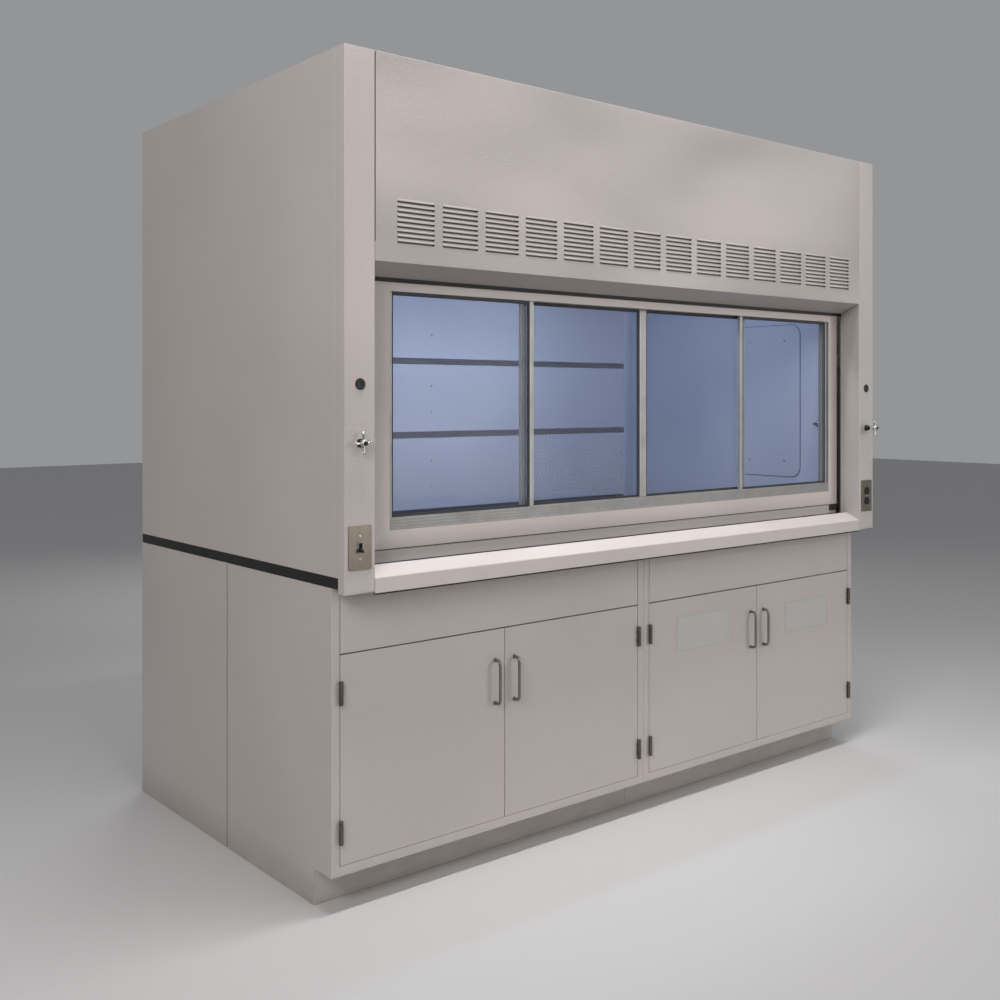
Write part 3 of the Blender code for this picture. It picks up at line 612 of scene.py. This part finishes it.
# a dark strip in the joint between the left cabinet and the rear base frame, painted shadow
strip("baseShadowLine", (baseLow.x - seam["proud"], middle - half, baseLow.z + seam["baseEnd"]),
    (baseLow.x + seam["sunk"], middle + half, baseHigh.z - seam["baseEnd"]),
    0.0003, "seal", "hood")
low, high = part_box("sash_frame")
back = face + seam["wiperBack"]
strip("headerWiper", (low.x, back - seam["wiper"], high.z - seam["wiperFoot"]),
    (high.x, back, high.z + seam["wiperTop"]), 0.0004, "rubberAndShadow", "hood")
sillLow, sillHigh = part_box("airfoil")
# a dark strip under the sill's front lip, painted shadow
strip("sillShadowStrip",
    (sillLow.x + seam["end"], sillLow.y + seam["sillShadowFront"], sillLow.z - seam["sillShadow"]),
    (sillHigh.x - seam["end"], sillLow.y + seam["sillShadowBack"], sillLow.z + seam["overlap"]),
    0.0006, "rubberAndShadow", "hood")
step = low.z + seam["lipTop"]
# a dark strip along the step of the sash lip, painted shadow
strip("sashLipShadowLine", (low.x + seam["end"], low.y + seam["lipFront"], step - seam["lip"]),
    (high.x - seam["end"], low.y + seam["lipBack"], step + seam["overlap"]),
    0.0003, "seal", "sash")
print("seams made")

# sash: aluminium track faces, guide shoes and rubber bumpers
sash = {"front": -0.5475, "openLeft": -1.019, "openRight": 1.0465,
    "sill": 1.036, "head": 1.665, "trackLow": 1.002, "recess": 0.002, "play": 0.0003,
    "lining": 0.0009, "edge": 0.0003, "ridges": (0.26, 0.52, 0.77), "ridgeRise": 0.0011,
    "linings": ((-0.5471, -0.5417), (-0.5273, -0.5222), (-0.5078, -0.5007))}
bumper = {"x": (1.056, 1.1005), "proud": 0.0006, "depth": 0.0042, "z": (0.927, 0.95),
    "screw": (1.078, 0.9385), "screwRadius": 0.0042}
shoe = {"heights": (0.996, 1.64), "parts": (
    ((1.1015, 1.1165), (-0.541, -0.522), (0, 0.017), 0.0022, 3),
    ((1.1011, 1.1035), (-0.5445, -0.5185), (-0.014, 0.031), 0.001, 2))}
cornerScrew = {"x": 1.074, "heights": (0.977, 1.677), "radius": 0.003, "height": 0.001}
trackLeft, trackRight = sash["openLeft"] + sash["play"], sash["openRight"] - sash["play"]

builder = bmesh.new()
back = sash["front"] + sash["recess"] - 0.0002
crest = sash["front"] + sash["play"]
low, high = sash["trackLow"] + 0.0004, sash["sill"]
out = crest + sash["ridgeRise"]
outline = [(back, low), (crest, low + 0.0005)]
for ridge in sash["ridges"]:
    z = low + ridge * (high - low)
    outline += [(crest, z - 0.001), (out, z - 0.0006), (out, z + 0.0006), (crest, z + 0.001)]
outline += [(crest, high - 0.0006), (crest + 0.0006, high), (back, high)]
prism(builder, outline, "X", trackLeft, trackRight)
keep("sashTrackFace", builder, "aluminiumAcross", "sash", sharp=30)

# thin linings on the sill, under the head and at both ends, between and beside the two tracks
builder = bmesh.new()
thin, edge, low, high = sash["lining"], sash["edge"], sash["sill"], sash["head"]
for near, far in sash["linings"]:
    block(builder, (trackLeft, near, low), (trackRight, far, low + thin), edge, 1)
    block(builder, (trackLeft, near, high - thin), (trackRight, far, high), edge, 1)
    for start, end in ((trackLeft, trackLeft + thin), (trackRight - thin, trackRight)):
        block(builder, (start, near, low + 0.001), (end, far, high - 0.001), edge, 1)
keep("sashTrackLinings", builder, "aluminiumAcross", "sash", sharp=30)

builder, shoes = bmesh.new(), bmesh.new()
face = sash["front"] - bumper["proud"]
block(builder, (bumper["x"][0], face, bumper["z"][0]),
    (bumper["x"][1], sash["front"] + bumper["depth"], bumper["z"][1]), 0.0018, 3)
screw(builder, (bumper["screw"][0], face, bumper["screw"][1]), (0, -1, 0),
    bumper["screwRadius"])
for side in (-1, 1):
    for z in shoe["heights"]:
        for reach, depth, rise, edge, segments in shoe["parts"]:
            start, end = sorted(side * place for place in reach)
            block(shoes, (start, depth[0], z + rise[0]), (end, depth[1], z + rise[1]),
                edge, segments)
keep("sashBumpers", builder, "rubberAndShadow", "sash")
keep("sashGuideShoes", shoes, "black", "sash")

builder = bmesh.new()
for side in (-1, 1):
    for z in cornerScrew["heights"]:
        screw(builder, (side * cornerScrew["x"], sash["front"], z), (0, -1, 0),
            cornerScrew["radius"], cornerScrew["height"])
keep("sashCornerScrews", builder, "steel", "sash")

# sliding panes
pane = {"stile": 0.016, "bottomRail": 0.028, "topRail": 0.022, "play": 0.0001,
    "railSet": 0.0004, "seal": 0.003, "bead": 0.0052, "groove": 0.0022, "edge": 0.0008}


def stile(builder, left, right, near, far, low, high):
    # an upright extrusion with a shallow channel in its front
    start, end = (left + right) / 2 - pane["groove"], (left + right) / 2 + pane["groove"]
    edge = pane["edge"]
    outline = [(left, near + edge), (left + edge, near), (start, near),
        (start + 0.0004, near + 0.001), (end - 0.0004, near + 0.001), (end, near),
        (right - edge, near), (right, near + edge), (right, far - edge),
        (right - edge, far), (left + edge, far), (left, far - edge)]
    prism(builder, outline, "Z", low, high)


def paneFrame(number):
    low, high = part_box(f"pane_frame_{number}")
    body = f"pane_{number}"
    uprights = bmesh.new()
    for left in (low.x, high.x - pane["stile"]):
        stile(uprights, left, left + pane["stile"], low.y, high.y, low.z, high.z)
    keep(f"paneStiles_{number}", uprights, "aluminium", body, [f"pane_frame_{number}"], 28)

    rails = bmesh.new()
    reach = pane["stile"] + pane["play"]
    for bottom, top in ((low.z, low.z + pane["bottomRail"]), (high.z - pane["topRail"], high.z)):
        block(rails, (low.x + reach, low.y + pane["railSet"], bottom),
            (high.x - reach, high.y - pane["railSet"], top), 0.0008, 2)
    keep(f"paneRails_{number}", rails, "railDark", body)

    glassLow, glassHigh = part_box(f"pane_glass_{number}")
    seal = bmesh.new()
    width, bead, play = pane["seal"], pane["bead"], pane["play"]
    for face, out in ((glassLow.y - play, low.y + 0.0003), (glassHigh.y + play, high.y - 0.0003)):
        # sloping beads along the stiles, flat strips along the rails
        for start, way in ((glassLow.x, 1), (glassHigh.x, -1)):
            outline = [(start, face), (start, out), (start + way * pane["edge"], out),
                (start + way * bead, face + (out - face) * 0.12), (start + way * bead, face)]
            prism(seal, outline, "Z", glassLow.z, glassHigh.z)
        near, far = sorted((face, face + (out - face) * 0.5))
        for start, end in ((glassLow.z, glassLow.z + width), (glassHigh.z - width, glassHigh.z)):
            block(seal, (glassLow.x + bead, near, start), (glassHigh.x - bead, far, end), 0.0004, 1)
    keep(f"paneSeal_{number}", seal, "seal", body)


for number in range(1, 5):
    paneFrame(number)
print("sash and panes made")

# fixtures on the posts
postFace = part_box("corner_post_left")[0].y
valve = {"armStart": 0.007, "armEnd": 0.0245, "armThin": 0.0032, "armThick": 0.0045,
    "knob": (0.0056, 0.0042, 0.0056), "knobPlace": 0.0244, "stem": 0.0042, "stemStart": 0.0128,
    "bore": 0.0064, "bonnet": 0.0125, "bonnetRoom": 0.0148,
    "hub": ((0, -0.013), (0.0062, -0.013), (0.0078, -0.0105), (0.008, -0.006), (0.0098, -0.0035),
    (0.0104, 0.0005), (0.0098, 0.0055), (0.008, 0.0088), (0.0062, 0.0098), (0, 0.0098)),
    "button": ((0, 0.0128), (0.004, 0.0126), (0.0056, 0.0116), (0.006, 0.01), (0.006, 0.0092),
    (0, 0.0092)),
    "collar": ((0.0042, 0.014), (0.0062, 0.015), (0.0062, 0.019), (0.0042, 0.02))}
holePlug = {"steps": 36, "profile": ((0, 0.0019), (0.0055, 0.0019), (0.0064, 0.0026),
    (0.012, 0.0032), (0.0146, 0.0026), (0.0155, 0.0012), (0.0155, 0.0004), (0.0125, 0.0003),
    (0.0125, -0.0095), (0.0105, -0.01), (0.0105, -0.0005), (0, -0.0005))}


def buildValve(side):
    body, node = f"valve_{side}", f"valve_handle_{side}"
    pivot = Vector(joints[f"valve_{side}_turn"]["pos_m"])
    handle = bmesh.new()
    turned(handle, valve["hub"], pivot, (0, -1, 0), 32)
    for direction in ((1, 0, 0), (-1, 0, 0), (0, 0, 1), (0, 0, -1)):
        way = Vector(direction)
        rod(handle, pivot + way * valve["armStart"], pivot + way * valve["armEnd"],
            valve["armThin"], valve["armThick"], 14)
        ball(handle, pivot + way * valve["knobPlace"], valve["knob"])
    keep(f"valveHandle_{side}_grip", handle, "chrome", body, [node], 50, False)
    button = bmesh.new()
    turned(button, valve["button"], pivot, (0, -1, 0), 24)
    keep(f"valveButton_{side}", button, "black", body, sharp=50)
    stem = bmesh.new()
    rod(stem, pivot + Vector((0, valve["stemStart"], 0)), (pivot.x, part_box(node)[1].y, pivot.z),
        valve["stem"], None, 20, 0.0006)
    turned(stem, valve["collar"], pivot, (0, 1, 0), 20, True)
    keep(f"valveStem_{side}", stem, "black", body, sharp=50)
    bonnet = bmesh.new()
    bore, room = valve["bore"], min(postFace - pivot.y - valve["bonnetRoom"], valve["bonnet"])
    turned(bonnet, [(bore, -0.0005), (0.0118, -0.0005), (0.0118, room * 0.2), (0.0104, room * 0.32),
        (0.0094, room * 0.84), (0.008, room), (bore, room)], (pivot.x, postFace, pivot.z),
        (0, -1, 0), 28, True)
    keep(f"valveBonnet_{side}", bonnet, "black", "hood", sharp=40)


def buildPlug(side):
    low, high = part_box(f"hole_plug_{side}")
    plug = bmesh.new()
    turned(plug, holePlug["profile"], ((low.x + high.x) / 2, postFace, (low.z + high.z) / 2),
        (0, -1, 0), holePlug["steps"])
    keep(f"holePlug_{side}_cap", plug, "black", "hood", [f"hole_plug_{side}"], 40)


for side in ("left", "right"):
    buildValve(side)
    buildPlug(side)

switch = {"screwRise": 0.0302, "screw": 0.0034, "head": 0.0013, "collarWide": 0.0088,
    "collarTall": 0.0155, "slotWide": 0.0052, "slotTall": 0.0122, "proud": 0.0011,
    "plate": 0.0019, "toggle": 0.0012}
outlet = {"radius": 0.017, "flat": 0.0142, "offset": 0.0195, "rise": 0.0015, "edge": 0.0017,
    "slotWide": 0.0018, "slots": ((-0.0064, 0.0085), (0.0064, 0.007)), "slotRise": 0.0026,
    "earth": 0.0026, "earthDrop": 0.0076, "screw": 0.0034, "head": 0.0013}

low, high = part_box("switch_plate")
x, z = (low.x + high.x) / 2, (low.z + high.z) / 2
softCopy("switch_plate", "switchPlate", "plateSteel", switch["plate"], 1, wide=0.002)
heads = bmesh.new()
for rise in (-switch["screwRise"], switch["screwRise"]):
    screw(heads, (x, low.y, z + rise), (0, -1, 0), switch["screw"], switch["head"])
keep("switchPlateScrews", heads, "steel", "hood")
collar = bmesh.new()
wide, tall = switch["collarWide"], switch["collarTall"]
slotWide, slotTall = switch["slotWide"], switch["slotTall"]
for left, right, bottom, top in ((-wide, -slotWide, -tall, tall), (slotWide, wide, -tall, tall),
        (-slotWide, slotWide, -tall, -slotTall), (-slotWide, slotWide, slotTall, tall)):
    block(collar, (x + left, low.y - switch["proud"], z + bottom),
        (x + right, low.y + 0.0002, z + top), 0.0004, 2)
keep("switchCollar", collar, "plateSteel", "hood")
softCopy("switch_toggle", "switchToggle", "black", switch["toggle"], 3, wide=0.0005)

low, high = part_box("outlet_plate")
face = low.y + outlet["rise"]
x, z = (low.x + high.x) / 2, (low.z + high.z) / 2
plate = bmesh.new()
block(plate, (low.x, face, low.z), (high.x, high.y, high.z), outlet["edge"], 1)
keep("outletPlate", plate, "plateSteel", "hood", ["outlet_plate"])
faces, cuts = bmesh.new(), bmesh.new()
half = degrees(asin(outlet["flat"] / outlet["radius"]))
cutNear, cutFar = face - 0.004, face - 0.0002
for offset in (-outlet["offset"], outlet["offset"]):
    middle = z + offset
    outline = arc((x, middle), outlet["radius"], -half, half, 8)
    outline += arc((x, middle), outlet["radius"], 180 - half, 180 + half, 8)
    prism(faces, outline, "Y", face - outlet["rise"], face + 0.0006, 0.0004, 2)
    wide, slotZ = outlet["slotWide"] / 2, middle + outlet["slotRise"]
    earthZ = middle - outlet["earthDrop"]
    for place, tall in outlet["slots"]:
        block(cuts, (x + place - wide, cutNear, slotZ - tall / 2),
            (x + place + wide, cutFar, slotZ + tall / 2))
    rod(cuts, (x, cutNear, earthZ), (x, cutFar, earthZ), outlet["earth"])
keep("outletFaces", carved(faces, cuts), "black", "hood", sharp=30)
head = bmesh.new()
screw(head, (x, face, z), (0, -1, 0), outlet["screw"], outlet["head"])
keep("outletScrew", head, "steel", "hood")
print("fixtures made")

# hinges, pulls and blank label plates on the doors
hinge = {"radius": 0.006, "inner": 0.003, "edge": 0.0005, "knuckles": 5, "slit": 0.0005,
    "pin": 0.0027, "leaf": 0.0006, "leafFront": 0.0052, "strap": (0.0002, 0.0052),
    "strapDepth": (0.0036, 0.0064), "capSunk": 0.0016,
    "cap": ((0, 0), (0.004, 0), (0.0044, 0.0006), (0.0036, 0.0016), (0, 0.002))}


def buildHinge(number, label, body):
    node = f"hinge_{number}_{label}"
    low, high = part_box(node)
    x, y = joints[f"door_{number}_hinge"]["pos_m"][:2]
    opens = -1 if number in (1, 3) else 1
    step = (high.z - low.z) / hinge["knuckles"]
    radius, inner, edge = hinge["radius"], hinge["inner"], hinge["edge"]
    near, far = hinge["strapDepth"]
    fixed, moving = bmesh.new(), bmesh.new()
    for index in range(hinge["knuckles"]):
        bottom = low.z + index * step + hinge["slit"] / 2
        top = low.z + (index + 1) * step - hinge["slit"] / 2
        turned(moving if index % 2 else fixed, [(inner, bottom), (radius - edge, bottom),
            (radius, bottom + edge), (radius, top - edge), (radius - edge, top), (inner, top)],
            (x, y, 0), (0, 0, 1), 20, True)
        if index % 2:  # the strap that joins this knuckle to the door
            start, end = sorted(x - opens * reach for reach in hinge["strap"])
            block(moving, (start, y + near, bottom), (end, y + far, top), 0.0004, 1)
    block(fixed, (x - hinge["leaf"], y + hinge["leafFront"], low.z),
        (x + hinge["leaf"], high.y, high.z), 0.0003, 1)
    for z, way in ((low.z, -1), (high.z, 1)):
        turned(fixed, hinge["cap"], (x, y, z - way * hinge["capSunk"]), (0, 0, way), 16)
    rod(fixed, (x, y, low.z), (x, y, high.z), hinge["pin"], None, 12)
    keep(f"hingeFrame_{number}_{label}", fixed, "bronze", "hood", [node], 40)
    keep(f"hingeDoor_{number}_{label}", moving, "bronze", body, (), 40)


pull = {"radius": 0.0045, "corner": 0.0125, "steps": 8, "foot": 0.0068, "footRise": 0.0016,
    "footBevel": 0.0008, "sunk": 0.0002, "play": 0.0001, "hole": 0.9}


def buildPull(number, body):
    node = f"door_pull_{number}"
    low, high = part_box(node)
    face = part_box(f"door_{number}")[0].y
    x = (low.x + high.x) / 2
    radius, bend, steps = pull["radius"], pull["corner"], pull["steps"]
    bottom, top, turn = low.z + radius, high.z - radius, low.y + radius + bend
    points = [(face - pull["sunk"], bottom)]
    points += arc((turn, bottom + bend), bend, 270, 180, steps)
    points += arc((turn, top - bend), bend, 180, 90, steps)
    points.append((face - pull["sunk"], top))
    tube(f"doorPull_{number}", [(x, y, z) for y, z in points], radius, "shadedPullSteel", body, [node])
    feet = bmesh.new()
    foot, rise, bevel, play = pull["foot"], pull["footRise"], pull["footBevel"], pull["play"]
    hole = radius * pull["hole"]
    for z in (bottom, top):
        turned(feet, [(hole, play), (foot, play), (foot, play + bevel), (foot - bevel, rise),
            (hole, rise)], (x, face, z), (0, -1, 0), 24, True)
    keep(f"doorPullFeet_{number}", feet, "shadedPullSteel", body, (), 40)


labels = {3: ((0.134, 0.421), (0.5, 0.627)), 4: ((0.734, 1.009), (0.487, 0.608))}
labelPlate = {"sheet": (0.0011, 0.0001), "rim": (0.0013, 0.0009), "inset": 0.006, "wide": 0.0012}


def buildLabel(number, body):
    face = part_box(f"door_{number}")[0].y
    (left, right), (low, high) = labels[number]
    sheet = bmesh.new()
    near, far = (face - depth for depth in labelPlate["sheet"])
    block(sheet, (left, near, low), (right, far, high), 0.0004, 2)
    keep(f"blankLabel_{number}", sheet, "label", body)
    rim = bmesh.new()
    inset, wide = labelPlate["inset"], labelPlate["wide"]
    near, far = (face - depth for depth in labelPlate["rim"])
    x0, x1, z0, z1 = left + inset, right - inset, low + inset, high - inset
    for lowX, highX, lowZ, highZ in ((x0, x1, z0, z0 + wide), (x0, x1, z1 - wide, z1),
            (x0, x0 + wide, z0 + wide, z1 - wide), (x1 - wide, x1, z0 + wide, z1 - wide)):
        block(rim, (lowX, near, lowZ), (highX, far, highZ), 0.0001, 1)
    keep(f"labelBorder_{number}", rim, "labelEdge", body)


for number in range(1, 5):
    doorBody = f"door_leaf_{number}"
    for label in ("lower", "upper"):
        buildHinge(number, label, doorBody)
    buildPull(number, doorBody)
    if number in labels:
        buildLabel(number, doorBody)
print("door hardware made")

# chamber screws and access panel
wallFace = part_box("baffle_lower")[0].y
chamber = {"columns": (-1.029, -0.057, 1.034), "heights": (1.01, 1.115, 1.31, 1.416, 1.62),
    "screw": (0.0065, 0.0028), "trimEdge": 1.0484, "trimTop": 1.846, "trimBase": 0.0005,
    "trimEnd": 0.0006, "trimDepth": (0.0003, 0.0018)}
access = {"insetY": 0.077, "insetZ": 0.064, "screw": (0.0055, 0.0024), "inset": 0.0005,
    "corner": 0.04, "over": 0.0025, "gasket": (0.0012, 0.0002)}

nozzle = {"y": -0.4617, "z": 1.264, "flange": 0.0135, "reach": 0.034, "barb": 0.0052,
    "ridges": 5, "first": 0.013, "end": 0.001, "bore": 0.0022, "neck": 0.0072}


def serviceNozzle(side):
    # the hose tail that each valve feeds, on the chamber's side wall
    sign = -1 if side == "left" else 1
    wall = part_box(f"liner_{side}")[1 if sign < 0 else 0].x
    builder = bmesh.new()
    flange, reach, barb = nozzle["flange"], nozzle["reach"], nozzle["barb"]
    profile = [(0, 0.0002), (flange, 0.0002), (flange, 0.002), (flange - 0.002, 0.004),
        (nozzle["neck"], 0.005), (nozzle["neck"], 0.011), (barb, 0.0118)]
    step = (reach - nozzle["first"] - nozzle["end"]) / nozzle["ridges"]
    for ridge in range(nozzle["ridges"]):
        start = nozzle["first"] + ridge * step
        profile += [(barb, start), (barb + 0.0014, start + 0.0004), (barb, start + step)]
    bore = nozzle["bore"]
    profile += [(barb - 0.0012, reach), (bore, reach), (bore, reach - 0.008), (0, reach - 0.008)]
    turned(builder, profile, (wall, nozzle["y"], nozzle["z"]), (-sign, 0, 0), 24)
    keep(f"serviceNozzle_{side}", builder, "chrome", "hood", sharp=40)


ceiling = {"margin": 0.036, "drop": 0.0052, "lens": 0.0032, "tube": 0.0125, "rise": 0.018,
    "apart": 0.042, "holder": 0.065, "cap": 0.01, "capPlay": 0.0002, "capOver": 0.0006}

heads = bmesh.new()
for x in chamber["columns"]:
    for z in chamber["heights"]:
        screw(heads, (x, wallFace, z), (0, -1, 0), *chamber["screw"], 16)
low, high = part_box("access_panel")
for y in (low.y + access["insetY"], high.y - access["insetY"]):
    for z in (low.z + access["insetZ"], high.z - access["insetZ"]):
        screw(heads, (low.x, y, z), (-1, 0, 0), *access["screw"], 16)
keep("chamberScrews", heads, "steel", "hood")
rim = bmesh.new()
outline = []
radius, reach = access["corner"], access["corner"] + access["inset"]
nearY, farY, lowZ, highZ = low.y + reach, high.y - reach, low.z + reach, high.z - reach
for y, z, start in ((farY, highZ, 0), (nearY, highZ, 90), (nearY, lowZ, 180),
        (farY, lowZ, 270)):
    outline += arc((y, z), radius + access["over"], start, start + 90, 8)
under, over = access["gasket"]
prism(rim, outline, "X", high.x - under, high.x + over)
keep("accessGasket", rim, "seal", "hood", sharp=40)

# upright strips that hold the baffles' ends and close the slots beside the side walls
builder = bmesh.new()
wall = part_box("liner_left")[1].x
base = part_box("worktop")[1].z + chamber["trimBase"]
far, near = (wallFace - depth for depth in chamber["trimDepth"])
for side in (-1, 1):
    start, end = sorted((side * chamber["trimEdge"], side * (abs(wall) - chamber["trimEnd"])))
    prism(builder, [(start, far), (start, near), (end, near), (end, far)], "Z", base,
        chamber["trimTop"], 0.0006, 2)
keep("baffleTrims", builder, "liner", "hood", sharp=30)

# ribbed lens in the ceiling's window, and the two tubes above it
low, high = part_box("light_fixture")
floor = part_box("ceiling_panel")[1].z
side, bottom = ceiling["margin"], floor - ceiling["drop"]
lens = bmesh.new()
block(lens, (low.x + side, low.y + side, bottom),
    (high.x - side, high.y - side, bottom + ceiling["lens"]), 0.0006, 2)
keep("lampLens", lens, "lamp", "hood")
tubes, caps = bmesh.new(), bmesh.new()
radius, z = ceiling["tube"], floor + ceiling["rise"]
end = high.x - ceiling["holder"]
for way in (-1, 1):
    y = (low.y + high.y) / 2 + way * ceiling["apart"] / 2
    rod(tubes, (-end, y, z), (end, y, z), radius, None, 20)
    for tip in (-1, 1):
        rod(caps, (tip * (end + ceiling["capPlay"]), y, z), (tip * (end + ceiling["cap"]), y, z),
            radius + ceiling["capOver"], None, 20, 0.001)
keep("lampTubes", tubes, "lamp", "hood")
keep("lampTubeCaps", caps, "steel", "hood")
for side in ("left", "right"):
    serviceNozzle(side)
print("chamber details made")

# exhaust collar
duct = {"inner": 0.1505, "outer": 0.1525, "bolts": 8, "boltCircle": 0.166, "sheet": 0.002,
    "bolt": (0.006, 0.004)}

low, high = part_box("exhaust_collar")
x, y = (low.x + high.x) / 2, (low.y + high.y) / 2
flange, base, top = (high.x - low.x) / 2, low.z, high.z
inner, outer, seat = duct["inner"], duct["outer"], low.z + duct["sheet"]
collar = bmesh.new()
turned(collar, [(inner, base), (flange, base), (flange, seat), (outer + 0.003, seat),
    (outer, base + 0.005), (outer, base + 0.105), (outer + 0.004, base + 0.11),
    (outer + 0.004, base + 0.114), (outer, base + 0.119), (outer, top - 0.01),
    (outer + 0.003, top - 0.006), (outer + 0.0036, top - 0.003), (outer + 0.0022, top - 0.0004),
    (outer - 0.0002, top), (inner, top - 0.001)], (x, y, 0), (0, 0, 1), 72, True)
keep("exhaustCollar", collar, "galvanised", "hood", ["exhaust_collar"], 40)
bolts = bmesh.new()
for step in range(duct["bolts"]):
    angle = tau * (step + 0.5) / duct["bolts"]
    place = (x + duct["boltCircle"] * cos(angle), y + duct["boltCircle"] * sin(angle), seat)
    screw(bolts, place, (0, 0, 1), *duct["bolt"], 6)
keep("collarBolts", bolts, "steel", "hood")

# counterbalance: sheaves, cables and clamps
rope = {"radius": 0.002, "start": 1.4965, "travel": 0.56, "steps": 20, "sides": 3,
    "ferrule": (1.486, 1.4995), "ferruleRadius": 0.0048}
sheave = {"half": 0.007, "web": 0.0035, "holes": 6, "holeRadius": 0.0075, "holeCircle": 0.027,
    "drill": 0.02, "nut": 0.011, "nutStart": 0.0072, "nutLong": 0.0065}


def buildCounterbalance(side):
    sign = -1 if side == "left" else 1
    pivot = Vector(joints[f"sheave_{side}_spin"]["pos_m"])
    low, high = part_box(f"sash_cable_{side}")
    near, far = low.y + rope["radius"], high.y - rope["radius"]
    x, half, web = pivot.x, sheave["half"], sheave["web"]
    wheel = bmesh.new()
    turned(wheel, [(0.0066, -half), (0.015, -half), (0.016, -web), (0.038, -web), (0.04, -half),
        (0.049, -half), (0.05, -0.006), (0.0492, -0.0046), (0.0452, -0.002), (0.0446, 0),
        (0.0452, 0.002), (0.0492, 0.0046), (0.05, 0.006), (0.049, half), (0.04, half), (0.038, web),
        (0.016, web), (0.015, half), (0.0066, half)], pivot, (1, 0, 0), 48, True)
    holes = bmesh.new()
    for step in range(sheave["holes"]):
        angle, reach = tau * step / sheave["holes"], sheave["holeCircle"]
        y, z = pivot.y + reach * cos(angle), pivot.z + reach * sin(angle)
        rod(holes, (x - sheave["drill"], y, z), (x + sheave["drill"], y, z),
            sheave["holeRadius"], None, 20)
    keep(f"sheaveWheel_{side}", carved(wheel, holes), "black", f"sheave_{side}", [f"pulley_{side}"],
        35)
    nut = bmesh.new()
    tip = x - sign * sheave["nutStart"]
    rod(nut, (tip, pivot.y, pivot.z), (tip - sign * sheave["nutLong"], pivot.y, pivot.z),
        sheave["nut"], None, 6, 0.0008)
    keep(f"sheaveNut_{side}", nut, "steel", "hood")

    start, steps, length = rope["start"], rope["steps"], pivot.z - rope["start"]
    front = tube(f"ropeFront_{side}",
        [(x, near, start + length * step / steps) for step in range(steps + 1)],
        rope["radius"], "rope", "hood", [f"sash_cable_{side}"], rope["sides"])
    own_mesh(front)
    over = [(x, y, z) for y, z in arc((pivot.y, pivot.z), (far - near) / 2, 180, 0, steps)]
    over.append((x, far, low.z))
    tube(f"ropeOver_{side}", over, rope["radius"], "rope", "hood", (), rope["sides"])
    clamp = bmesh.new()
    bottom, top = rope["ferrule"]
    rod(clamp, (x, near, bottom), (x, near, top), rope["ferruleRadius"], None, 16, 0.0008)
    keep(f"ropeFerrule_{side}", clamp, "steel", "sash", sharp=40)


for side in ("left", "right"):
    buildCounterbalance(side)
print("collar and counterbalance made")

# camera, light and floor
camera = {"place": (-2.804, -3.18, 1.371), "turn": 39.64, "lens": 41.24, "shift": -0.103}
lens = bpy.data.cameras.new("camera")
lens.lens = camera["lens"]
lens.sensor_width = 36
lens.shift_y = camera["shift"]
lens.clip_end = 60
eye = linked("camera", lens)
eye.location = camera["place"]
eye.rotation_euler = (radians(90), 0, radians(-camera["turn"]))
bpy.context.scene.camera = eye

lamps = {
    "key": {"place": (3.4, -5.6, 1.7), "aim": (0.1, -0.4, 1.2), "size": (2.6, 2.4), "power": 80,
        "tint": (1.0, 0.97, 0.95)},
    "sheen": {"place": (4.1, -4.7, 3.0), "aim": (0.5, -0.6, 1.9), "size": (0.5, 0.35), "power": 40,
        "tint": (1.0, 0.97, 0.96)},
    "fill": {"place": (-4.6, -2.9, 3.6), "aim": (-1.2, -0.3, 1.4), "size": (2.0, 2.0),
        "power": 138, "tint": (1.0, 0.97, 0.95)},
    "over": {"place": (-0.2, -1.1, 4.6), "aim": (-0.2, -0.62, 0.92), "size": (3.0, 0.35),
        "power": 27, "spread": 70, "tint": (1.0, 0.98, 0.97)},
    "back": {"place": (2.5, 4.5, 3.6), "aim": (0, 0, 1.2), "size": (3.0, 2.0), "power": 75,
        "tint": (1.0, 1.0, 1.0)},
    "chamber": {"place": (0.0, -0.25, 2.085), "aim": (0.0, 0.05, 1.0), "size": (1.1, 0.08),
        "power": 10, "tint": (0.75, 0.86, 1.0)},
}
for name, lamp in lamps.items():
    light = bpy.data.lights.new(name, "AREA")
    light.shape = "RECTANGLE"
    light.size, light.size_y = lamp["size"]
    light.energy = lamp["power"]
    light.spread = radians(lamp.get("spread", 180))
    light.color = lamp["tint"]
    holder = linked(name, light)
    holder.location = lamp["place"]
    aim = Vector(lamp["aim"]) - Vector(lamp["place"])
    holder.rotation_euler = aim.to_track_quat("-Z", "Y").to_euler()

world = bpy.data.worlds.new("studio")
world.use_nodes = True
sky = world.node_tree.nodes["Background"].inputs
sky["Color"].default_value = (0.9, 0.91, 0.94, 1)
sky["Strength"].default_value = 0.33
bpy.context.scene.world = world
bpy.context.scene.view_settings.view_transform = "Standard"

floorBuilder = bmesh.new()
bmesh.ops.create_grid(floorBuilder, x_segments=1, y_segments=1, size=20)
bmesh.ops.translate(floorBuilder, vec=(0, 0, cadLow.z - 0.0005), verts=floorBuilder.verts)
floorMesh = meshOf("studioFloor", floorBuilder)
floorLook = Look("paleFloor", Base_Color=(0.46, 0.46, 0.46, 1), Roughness=0.7)
floorMesh.materials.append(floorLook.material)
linked("studioFloor", floorMesh)
print("camera and lights placed")
